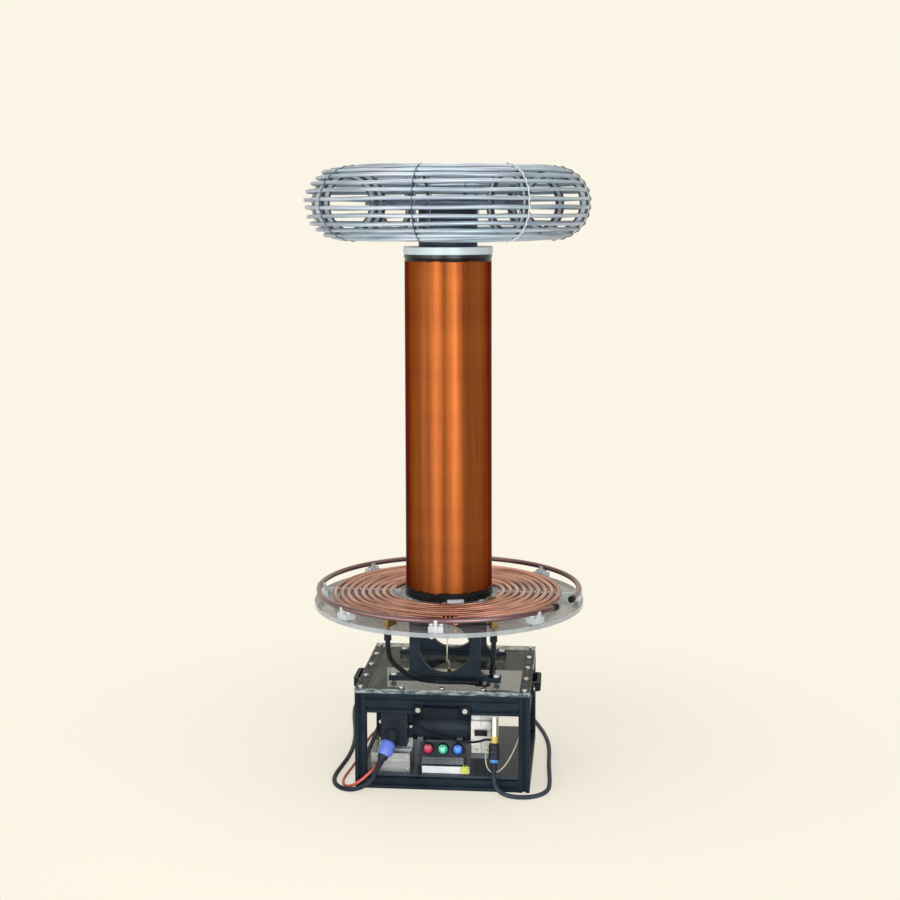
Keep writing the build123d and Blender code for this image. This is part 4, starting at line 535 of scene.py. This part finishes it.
def smooth_line(name, points, diameter, finish, detail=9):
    """A round cord along one smooth line with these control points."""
    data = bpy.data.curves.new(name, "CURVE")
    data.dimensions = "3D"
    spline = data.splines.new("NURBS")
    spline.points.add(len(points) - 1)
    for knot, place in zip(spline.points, points):
        knot.co = (*place, 1.0)
    spline.order_u = 3
    spline.use_endpoint_u = True
    data.resolution_u = detail
    data.bevel_depth = diameter / 2
    data.bevel_resolution = 4
    data.use_fill_caps = True
    data.materials.append(finish.material)
    cord = bpy.data.objects.new(name, data)
    bpy.context.scene.collection.objects.link(cord)
    return cord


def coil_ends(centre, diameter, mean_radius, half_turns, sign, gap=0.75, step=1.17):
    """Where the half turns of a two-layer coil begin and end, in millimetres; sign is its first side."""
    rise = diameter + gap
    pitch = step * rise
    radius = mean_radius + pitch * half_turns / 4
    height = diameter / 2
    ends = [(centre[0] + sign * radius, centre[1], height)]
    for layer in range(2):
        for _ in range(half_turns):
            radius += -pitch / 2 if layer == 0 else pitch / 2
            sign = -sign
            ends.append((centre[0] + sign * radius, centre[1], height))
        if layer == 0:
            height += rise
            sign = -sign
            ends.append((centre[0] + sign * radius, centre[1], height))
    return ends


def coil_points(ends, tail):
    """Control points round every half turn, then a straight tail towards the box."""
    points = []
    for k, (a, b) in enumerate(zip(ends[:-1], ends[1:])):
        way = 1 if k % 2 == 0 else -1
        middle = (a[0] + b[0]) / 2
        reach = (a[0] - b[0]) / 2
        for j in range(COIL_STEPS):
            turn = math.pi * (j + 0.5) / COIL_STEPS
            height = a[2] + (b[2] - a[2]) * (1 - math.cos(turn)) / 2
            x = middle + OUTSIDE * reach * math.cos(turn)
            y = a[1] + way * OUTSIDE * abs(reach) * math.sin(turn)
            points.append((x, y, height))
    last = ends[-1]
    way = 1 if (len(ends) - 1) % 2 == 0 else -1
    points.append((last[0], last[1] + way * tail / 2, last[2]))
    points.append((last[0], last[1] + way * tail, last[2]))
    return points


def line_length(points):
    """The length of the smooth line, measured on a copy with no thickness."""
    probe = smooth_line("probe", points, 0.0, power_jacket)
    mesh = bpy.data.meshes.new_from_object(probe)
    places = [v.co for v in mesh.vertices]
    total = sum((b - a).length for a, b in zip(places[:-1], places[1:]))
    bpy.data.objects.remove(probe)
    bpy.data.meshes.remove(mesh)
    return total


# %% Routes of the three cords
power_route = [
    (-115.075, -154.125, 38.826), (-120.343, -162.906, 26.532), (-134.5, -172.0, 14.5), (-155.0, -173.0, 6.6),
    (-177.0, -164.0, 4.2), (-193.0, -145.0, 4.2), (-200.5, -118.0, 4.2), (-200.5, -88.0, 4.2), (-196.5, -52.0, 4.2),
    (-191.5, -6.0, 4.2), (-191.0, 46.0, 4.2), (-195.0, 98.0, 4.2), (-203.0, 152.0, 4.2),
    (-213.0, 204.0, 4.2), (-221.0, 252.0, 4.2), (-224.7, 287.6, 4.2), (-224.7, 321.6, 4.2),
]
earth_route = [
    (-120.0, -128.0, 38.0), (-120.0, -141.0, 38.0), (-130.0, -155.0, 31.0), (-143.5, -160.0, 19.5),
    (-159.0, -158.0, 8.5), (-173.5, -148.5, 2.9), (-182.0, -132.0, 2.5), (-183.5, -105.0, 2.5),
    (-178.0, -60.0, 2.5), (-172.5, -8.0, 2.5), (-171.0, 46.0, 2.5), (-170.0, 98.0, 2.5),
    (-163.0, 146.0, 2.5), (-146.0, 186.0, 2.5), (-118.0, 211.0, 2.5), (-93.0, 233.0, 2.5),
    (-80.0, 261.0, 2.5), (-78.1, 291.0, 2.5), (-78.1, 325.0, 2.5),
]
signal_route = [
    (93.5, -149.435, 33.61), (93.5, -152.67, 21.54), (99.0, -159.5, 11.4), (112.5, -168.5, 4.1),
    (134.5, -177.5, 4.1), (158.4, -175.5, 4.1), (178.3, -162.0, 4.1), (190.0, -140.0, 4.1),
    (192.0, -107.0, 4.1), (190.0, -60.0, 4.1), (187.5, -8.0, 4.1), (187.0, 46.0, 4.1),
    (184.0, 100.0, 4.1), (175.0, 152.0, 4.1), (161.0, 202.0, 4.1), (146.0, 250.0, 4.1),
    (135.5, 285.8, 4.1), (135.5, 321.8, 4.1),
]


def free_cord(name, route, coil, tail, diameter, finish):
    """A cord as one smooth line: its run and its coil."""
    points = metres(*route, *coil_points(coil, tail))
    cord = smooth_line(name, points, diameter * MM, finish)
    length = line_length(points)
    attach(cord, "base")
    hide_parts(name + "_run", name + "_coil")
    print(name, "length", round(length, 3), "m")
    return cord


power_cord = free_cord(
    "power_cord", power_route, coil_ends((-168.0, 330.0), 8.4, 46.0, 4, -1), 40.0, 8.4,
    power_jacket)
earth_cord = free_cord(
    "earth_cord", earth_route, coil_ends((-40.0, 330.0), 5.0, 28.0, 6, -1), 30.0, 5.0,
    earth_jacket)
signal_cord = free_cord(
    "signal_cord", signal_route, coil_ends((80.0, 330.0), 8.2, 45.0, 4, 1), 40.0, 8.2,
    signal_jacket)

# %% [markdown]
# ## Turned pieces
# Plugs, reliefs and studs are round, so each starts as a profile of a few points that
# is spun round its axis. The profile runs from the axis out and back to it, which
# closes the piece at both ends.


# %% Turn a profile
def finished(name, mesh_maker, finish, body, smooth=35.0):
    """Makes an object at the origin from a bmesh, with its finish and its body."""
    mesh = bpy.data.meshes.new(name)
    mesh_maker.to_mesh(mesh)
    mesh_maker.free()
    for face in mesh.polygons:
        face.use_smooth = True
    mesh.set_sharp_from_angle(angle=math.radians(smooth))
    mesh.materials.append(finish.material)
    piece = bpy.data.objects.new(name, mesh)
    bpy.context.scene.collection.objects.link(piece)
    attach(piece, body)
    return piece


def towards(start, way):
    """The matrix that stands +Z along a direction at a place."""
    return Matrix.Translation(Vector(start)) @ Vector(way).to_track_quat("Z", "Y").to_matrix().to_4x4()


def turned(profile, steps=48):
    """A closed round bmesh about Z from a profile of (radius, height) in millimetres."""
    maker = bmesh.new()
    corners = [maker.verts.new((radius * MM, 0.0, height * MM)) for radius, height in profile]
    edges = [maker.edges.new(pair) for pair in zip(corners[:-1], corners[1:])]
    bmesh.ops.spin(maker, geom=corners + edges, cent=(0, 0, 0), axis=(0, 0, 1), dvec=(0, 0, 0),
                   angle=2 * math.pi, steps=steps, use_merge=True, use_duplicate=False)
    bmesh.ops.remove_doubles(maker, verts=maker.verts, dist=1e-6)
    bmesh.ops.recalc_face_normals(maker, faces=maker.faces)
    return maker


def add_shape(maker, small):
    """Moves a small bmesh into a larger one."""
    mesh = bpy.data.meshes.new("shape")
    small.to_mesh(mesh)
    small.free()
    maker.from_mesh(mesh)
    bpy.data.meshes.remove(mesh)


def ribbed(radius_near, radius_far, near, far, ribs, depth):
    """A tapered profile with rounded grooves, as on a flexible strain relief."""
    profile = []
    steps = ribs * 4
    for k in range(steps + 1):
        share = k / steps
        radius = radius_near + (radius_far - radius_near) * share
        wave = 0.5 - 0.5 * math.cos(2 * math.pi * ribs * share)
        profile.append((radius - depth * wave, near + (far - near) * share))
    return profile


# %% [markdown]
# The mains plug is a blue locking connector: a grip with ridges, a latch for the thumb,
# a dark gland nut and a ribbed relief that narrows down to the cord. The signal plug is
# a black shell with a knurled grip over a blue nut and its own relief.

# %% Mains plug
plug_start = Vector((-0.094, -0.119, 0.088))
plug_way = Vector((-0.33, -0.55, -0.77)).normalized()
plug_place = towards(plug_start, plug_way)
shell_profile = [
    (0, 12), (12.0, 12), (12.4, 12.6), (12.4, 15.4), (13.2, 16), (13.2, 18), (12.3, 18.8), (12.3, 20.4),
    (13.1, 21), (13.1, 23), (12.2, 23.8), (12.2, 25.4), (13.0, 26), (13.0, 28), (12.0, 28.8), (11.7, 34),
    (11.3, 37), (10.4, 38), (0, 38),
]
shell = turned(shell_profile)
latch = bmesh.ops.create_cube(shell, size=1.0)["verts"]
bmesh.ops.scale(shell, vec=(0.004, 0.009, 0.02), verts=latch)
bmesh.ops.translate(shell, vec=(0.0131, 0, 0.025), verts=latch)
latch_edges = list({edge for corner in latch for edge in corner.link_edges})
bmesh.ops.bevel(shell, geom=latch_edges, offset=0.0012, segments=2, profile=0.5, affect="EDGES", material=-1)
bmesh.ops.transform(shell, matrix=plug_place, verts=shell.verts)
power_shell = finished("power_plug_shell", shell, plug_blue, "base")
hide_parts("power_plug")

gland = turned([(0, 38), (9.5, 38), (9.5, 42.5), (8.8, 44), (7.4, 44), *ribbed(7.2, 4.6, 44, 64, 6, 0.7), (0, 64)])
bmesh.ops.transform(gland, matrix=plug_place, verts=gland.verts)
power_relief = finished("power_plug_relief", gland, plug_dark, "base")
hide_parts("power_plug")
print("mains plug faces", len(power_shell.data.polygons) + len(power_relief.data.polygons))

# %% Signal plug
signal_start = Vector((0.0935, -0.122, 0.136))
signal_way = Vector((0, -math.sin(math.radians(15)), -math.cos(math.radians(15))))
signal_place = towards(signal_start, signal_way)
grip = turned([
    (0, 52), (8.8, 52), (9.4, 53), (9.4, 55), (10.4, 56.5), (10.4, 62), (10.0, 62.6), (10.0, 63.4), (10.4, 64),
    (10.4, 72), (10.0, 72.6), (10.0, 73.4), (10.4, 74), (10.4, 78), (9.2, 80), (0, 80),
], 40)
bmesh.ops.transform(grip, matrix=signal_place, verts=grip.verts)
signal_shell = finished("signal_plug_shell", grip, plug_dark, "base")
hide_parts("signal_plug")

nut = bmesh.new()
bmesh.ops.create_cone(nut, cap_ends=True, segments=6, radius1=0.0076, radius2=0.0076, depth=0.006)
bmesh.ops.bevel(nut, geom=nut.edges[:], offset=0.0006, segments=2, profile=0.5, affect="EDGES", material=-1)
bmesh.ops.translate(nut, vec=(0, 0, 0.083), verts=nut.verts)
bmesh.ops.transform(nut, matrix=signal_place, verts=nut.verts)
signal_nut = finished("signal_plug_nut", nut, ring_blue, "base")
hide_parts("signal_plug")

boot = turned([(0, 86), (6.0, 86), *ribbed(6.0, 4.4, 86.5, 106, 5, 0.6), (0, 106)])
bmesh.ops.transform(boot, matrix=signal_place, verts=boot.verts)
signal_boot = finished("signal_plug_relief", boot, plug_dark, "base")
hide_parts("signal_plug")

# %% [markdown]
# ## Held leads
# Two thick leads join the disc's studs to lugs on the top plate, and thinner wires run
# inside the box and through the stand's window. They are held at both ends, and bend in
# one easy curve between them, so each is a smooth line on the solid lead's own points.

# %% Leads and wires
held_leads = {
    "left_lead": ("heavy_leads", 9.0, lead_jacket, [
        (-87.13, -211.73, 292.0), (-87.13, -211.73, 276.0), (-84.63, -204.73, 256.0), (-72.0, -180.0, 232.0),
        (-50.0, -141.0, 203.0), (-18.0, -114.0, 189.6), (18.0, -110.0, 188.4), (48.0, -110.0, 188.4)]),
    "right_lead": ("heavy_leads", 9.0, lead_jacket, [
        (96.78, -207.54, 292.0), (96.78, -207.54, 275.0), (95.28, -195.54, 256.0), (84.0, -68.0, 194.8),
        (82.0, -50.0, 188.4), (82.0, -22.0, 188.4)]),
    "earth_wire": ("pale_wires", 2.2, pale_jacket, [
        (18.0, -226.0, 302.0), (18.0, -226.0, 284.0), (15.0, -198.0, 264.0), (10.0, -150.0, 240.0),
        (6.5, -98.0, 221.0), (4.4, -60.0, 212.0), (3.8, -46.0, 209.5), (3.4, -34.0, 202.5), (3.4, -34.0, 189.0)]),
    "sensor_wire": ("pale_wires", 2.4, pale_jacket, [
        (140.0, -119.0, 139.0), (140.0, -119.5, 121.0), (139.5, -121.0, 103.0), (134.0, -124.5, 84.0),
        (123.5, -129.5, 61.5), (112.0, -134.5, 44.0), (101.0, -138.5, 34.5), (88.5, -138.5, 32.5),
        (80.0, -136.5, 41.0), (77.5, -135.0, 56.0), (78.5, -135.0, 73.0), (80.5, -134.94, 87.7),
        (87.4, -134.94, 87.7)]),
}
for name, (node, diameter, finish, route) in held_leads.items():
    lead = smooth_line(name, metres(*route), diameter * MM, finish)
    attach(lead, "base")
    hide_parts(node)

# %% [markdown]
# ## Lacing of the cage
# The rings are laced to the ribs. On the rib at the right of the front the lacing is a
# white cord that goes over every ring and dips between them. The others are thin dark
# wire. Both follow the same wavy loop round the rib, so one helper makes them.

# %% Cage lacing
ring_count, ring_radius = 26, 3.5
rib_phase, rib_count = -98.0, 8


def lacing_loop(angle, thickness):
    """Points of a cord that goes over each ring and dips between two, in metres."""
    points = []
    turn = math.radians(angle)
    for k in range(2 * ring_count + 1):
        over = k % 2 == 1
        reach = cage_minor + (ring_radius + thickness * 0.9 if over else ring_radius * 0.35)
        around = 2 * math.pi * (k / 2) / ring_count
        radius = cage_major + reach * math.cos(around)
        points.append((radius * math.cos(turn), radius * math.sin(turn), cage_z + reach * math.sin(around)))
    return metres(*points)


for k in range(rib_count):
    angle = rib_phase + 360.0 * k / rib_count
    white = k == 1
    thickness = 2.6 if white else 1.6
    lace = smooth_line(f"cage_lace_{k + 1}", lacing_loop(angle, thickness), thickness * MM,
                       lacing_white if white else tie_dark, 4)
    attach(lace, "cage")
    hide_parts("cage_ties")
print("laces:", rib_count)

# %% [markdown]
# ## Bent rings
# The rings of the cage are bent by hand, so between two ribs each one strays a little
# from its circle. Every ring is a small circle spun round the column, and afterwards its
# points are moved by a slow wave that dies out at the ribs, where the notches hold it.

# %% Cage rings
ring_steps, ring_sides = 120, 12
stray = 1.3 * MM


def bent_ring(k):
    """One closed ring of the cage, wavy between the ribs."""
    turn = 2 * math.pi * (k + 0.5) / ring_count
    middle = (cage_major + cage_minor * math.cos(turn), cage_z + cage_minor * math.sin(turn))
    corners = [2 * math.pi * (j % ring_sides) / ring_sides for j in range(ring_sides + 1)]
    section = [(middle[0] + ring_radius * math.cos(a), middle[1] + ring_radius * math.sin(a)) for a in corners]
    maker = turned(section, ring_steps)
    number = k if k < ring_count / 2 else k - ring_count
    for corner in maker.verts:
        x, y, z = corner.co
        around = math.atan2(y, x)
        free = abs(math.sin((around - math.radians(rib_phase)) * rib_count / 2)) * stray
        spread = 1 + free * math.sin(4 * around + 1.7 * number) / math.hypot(x, y)
        corner.co = (x * spread, y * spread, z + free * math.sin(3 * around + 2.4 * number))
    return maker


ring_maker = bmesh.new()
for k in range(ring_count):
    add_shape(ring_maker, bent_ring(k))
bent_rings = finished("bent_rings", ring_maker, ring_tube, "cage")
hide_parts("cage_rings")
print("ring faces", len(bent_rings.data.polygons))

# %% [markdown]
# ## Signal lamps
# Each lamp is a domed lens, stepped where its moulding thickens, in a black ring on the
# panel. The lens is turned from its profile, over the place of the solid lens, and the
# ring is turned as a closed loop that never meets the axis.

# %% Lenses and their rings
lens_profile = [(0, 0), (8.8, 0), (8.8, 3.6), (8.3, 4.4), (7.6, 4.6), (7.4, 5.6), (6.2, 6.6), (3.6, 7.4), (0, 7.7)]
ring_profile = [(8.9, 0), (10.8, 0), (10.8, 2.4), (10.1, 3.4), (8.9, 3.4), (8.9, 0)]
for name, lens_finish in lamp_lenses.items():
    low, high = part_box(name)
    foot = ((low[0] + high[0]) / 2, high[1], (low[2] + high[2]) / 2)
    dome = turned(lens_profile, 40)
    bmesh.ops.transform(dome, matrix=towards(foot, (0, -1, 0)), verts=dome.verts)
    cover = finished(name + "_lens", dome, lens_finish, "base")
    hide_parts(name)
    ring = turned(ring_profile, 40)
    bmesh.ops.transform(ring, matrix=towards(foot, (0, -1, 0)), verts=ring.verts)
    finished(name + "_ring", ring, sleeve_black, "base")
    print(name, "front face at", round(foot[1] / MM, 1), "mm")

# %% [markdown]
# ## Small fittings in the box
# The capacitor ends in a lid with two screw studs, the breaker has its four terminal
# screws and the joint between its poles, and the supply case has corner screws. They are
# small turned or bevelled pieces that sit on the node behind them.


# %% Fittings
def bevelled_box(maker, low, high, offset):
    """Adds a block between two corners in millimetres, its edges rounded."""
    corners = bmesh.ops.create_cube(maker, size=1.0)["verts"]
    size = [(b - a) * MM for a, b in zip(low, high)]
    middle = [(a + b) / 2 * MM for a, b in zip(low, high)]
    bmesh.ops.scale(maker, vec=size, verts=corners)
    bmesh.ops.translate(maker, vec=middle, verts=corners)
    edges = list({edge for corner in corners for edge in corner.link_edges})
    bmesh.ops.bevel(maker, geom=edges, offset=offset * MM, segments=2, profile=0.5, affect="EDGES", material=-1)


def add_turned(maker, profile, start, way, steps=24):
    """Adds a turned shape to a bmesh, standing along a direction."""
    small = turned(profile, steps)
    bmesh.ops.transform(small, matrix=towards([c * MM for c in start], way), verts=small.verts)
    add_shape(maker, small)


screw_head = [(0, 0), (3.0, 0), (3.0, 1.0), (2.2, 1.8), (0, 2.0)]

lid = bmesh.new()
add_turned(lid, [(0, 0), (22, 0), (22, 1.2), (21, 1.8), (0, 1.8)], (44.0, -61.0, 90.0), (1, 0, 0), 40)
stud = [(0, 0), (5, 0), (5, 2.4), (3, 3.4), (3, 5.6), (0, 5.6)]
for side in (-1, 1):
    add_turned(lid, stud, (45.0, -61.0 + 11 * side, 90.0), (1, 0, 0))
can_lid = finished("capacitor_lid", lid, strip_grey, "base")

poles = bmesh.new()
for x in (58.0, 76.0):
    for z in (58.5, 125.5):
        add_turned(poles, screw_head, (x, -94.2, z), (0, -1, 0))
breaker_screws = finished("breaker_screws", poles, bright_steel, "base")

seam = bmesh.new()
bevelled_box(seam, (66.6, -104.3, 70.0), (67.4, -103.9, 78.0), 0.1)
bevelled_box(seam, (66.6, -104.3, 106.0), (67.4, -103.9, 114.0), 0.1)
bevelled_box(seam, (66.6, -94.3, 52.5), (67.4, -93.9, 69.0), 0.1)
bevelled_box(seam, (66.6, -94.3, 115.5), (67.4, -93.9, 131.5), 0.1)
breaker_seam = finished("breaker_seam", seam, strip_grey, "base")

corner_screws = bmesh.new()
for x in (-127.0, -65.0):
    for z in (29.0, 52.5):
        add_turned(corner_screws, [(0, 0), (2.2, 0), (2.0, 0.9), (0, 1.2)], (x, -124.0, z), (0, -1, 0), 20)
case_screws = finished("case_screws", corner_screws, bright_steel, "base")

# %% [markdown]
# ## Floor, world and lamps
# The studio is plain: a pale floor that fades into a pale world of the same colour, two
# soft boxes in front, a weaker one at the left and a broad one above. The two in front
# reach down to the floor, so that the winding shows them as long stripes. What the
# camera, gloss and clear plates see of the world is its full colour, and what lights the
# object is dimmer, so that colours come out as written. The floor keeps a soft shadow.

# %% Stage
cream = shade(251, 245, 229)

world = bpy.data.worlds.new("studio")
bpy.context.scene.world = world
world.use_nodes = True


class Stage(Finish):
    """A node tree without a Principled shader, for the world and the floor."""

    def __init__(self, tree):
        self.tree = tree
        tree.nodes.clear()
        self.place = self.node("ShaderNodeTexCoord", {}, {}, "Object")


def seen_share(stage):
    """One for what the camera, gloss and clear plates see, nought for light."""
    paths = [stage.node("ShaderNodeLightPath", {}, {}, kind)
             for kind in ("Is Camera Ray", "Is Glossy Ray", "Is Transmission Ray")]
    first = paths[0].maths("MAXIMUM", paths[0], paths[1])
    return first.maths("MAXIMUM", first, paths[2])


sky = Stage(world.node_tree)
light = sky.node("ShaderNodeBackground", {}, {"Color": (1.0, 1.0, 1.0, 1.0), "Strength": 0.25})
seen = sky.node("ShaderNodeBackground", {}, {"Color": cream, "Strength": 1.0})
both = sky.node("ShaderNodeMixShader", {}, {0: seen_share(sky), 1: light, 2: seen})
sky.node("ShaderNodeOutputWorld", {}, {"Surface": both})

ground = bmesh.new()
bmesh.ops.create_circle(ground, cap_ends=True, segments=96, radius=3.0)
bmesh.ops.translate(ground, vec=(0, 0, -0.0004), verts=ground.verts)
ground_mesh = bpy.data.meshes.new("floor")
ground.to_mesh(ground_mesh)
ground.free()
floor = bpy.data.objects.new("floor", ground_mesh)
bpy.context.scene.collection.objects.link(floor)

floor_material = bpy.data.materials.new("floor_pale")
floor_material.use_nodes = True
pale = Stage(floor_material.node_tree)
floor_light = 0.59
matte = pale.node("ShaderNodeBsdfDiffuse", {}, {"Color": tuple(c * 0.56 for c in cream[:3]) + (1.0,)})
glow = pale.node("ShaderNodeEmission", {}, {"Color": cream, "Strength": floor_light})
lit = pale.node("ShaderNodeAddShader", {}, {0: matte, 1: glow})
plain = pale.node("ShaderNodeBsdfDiffuse", {}, {"Color": cream})
ground_look = pale.node("ShaderNodeMixShader", {}, {0: seen_share(pale), 1: plain, 2: lit})
clear = pale.node("ShaderNodeBsdfTransparent", {}, {})
x, y = pale.part("X"), pale.part("Y")
fade = ((x * x + y * y) ** 0.5).between(0.45, 0.95)
spread = pale.node("ShaderNodeMixShader", {}, {0: fade, 1: ground_look, 2: clear})
pale.node("ShaderNodeOutputMaterial", {}, {"Surface": spread})
floor.data.materials.append(floor_material)


def soft_box(name, place, target, width, height, watts):
    """A rectangular lamp that looks at a point; the camera doesn't see it."""
    data = bpy.data.lights.new(name, "AREA")
    data.shape = "RECTANGLE"
    data.size, data.size_y = width, height
    data.energy = watts
    lamp = bpy.data.objects.new(name, data)
    bpy.context.scene.collection.objects.link(lamp)
    lamp.location = place
    lamp.rotation_euler = (Vector(place) - Vector(target)).to_track_quat("Z", "Y").to_euler()
    lamp.visible_camera = False
    return lamp


soft_box("soft_box_left", (-1.13, -2.37, 0.68), (0, 0, 0.6), 1.05, 1.3, 25.0)
soft_box("soft_box_right", (0.92, -2.46, 0.68), (0, 0, 0.6), 1.4, 1.3, 34.0)
soft_box("soft_box_side", (-2.14, -1.52, 0.68), (0, 0, 0.6), 1.3, 1.3, 10.0)
soft_box("soft_box_above", (0.0, 0.3, 3.0), (0, 0, 0.5), 2.2, 2.2, 30.0)
print("lamps: 4")

# %% [markdown]
# ## Colour management
# The plain Standard transform shows colours as they are.

# %% Finish
bpy.context.scene.view_settings.view_transform = "Standard"
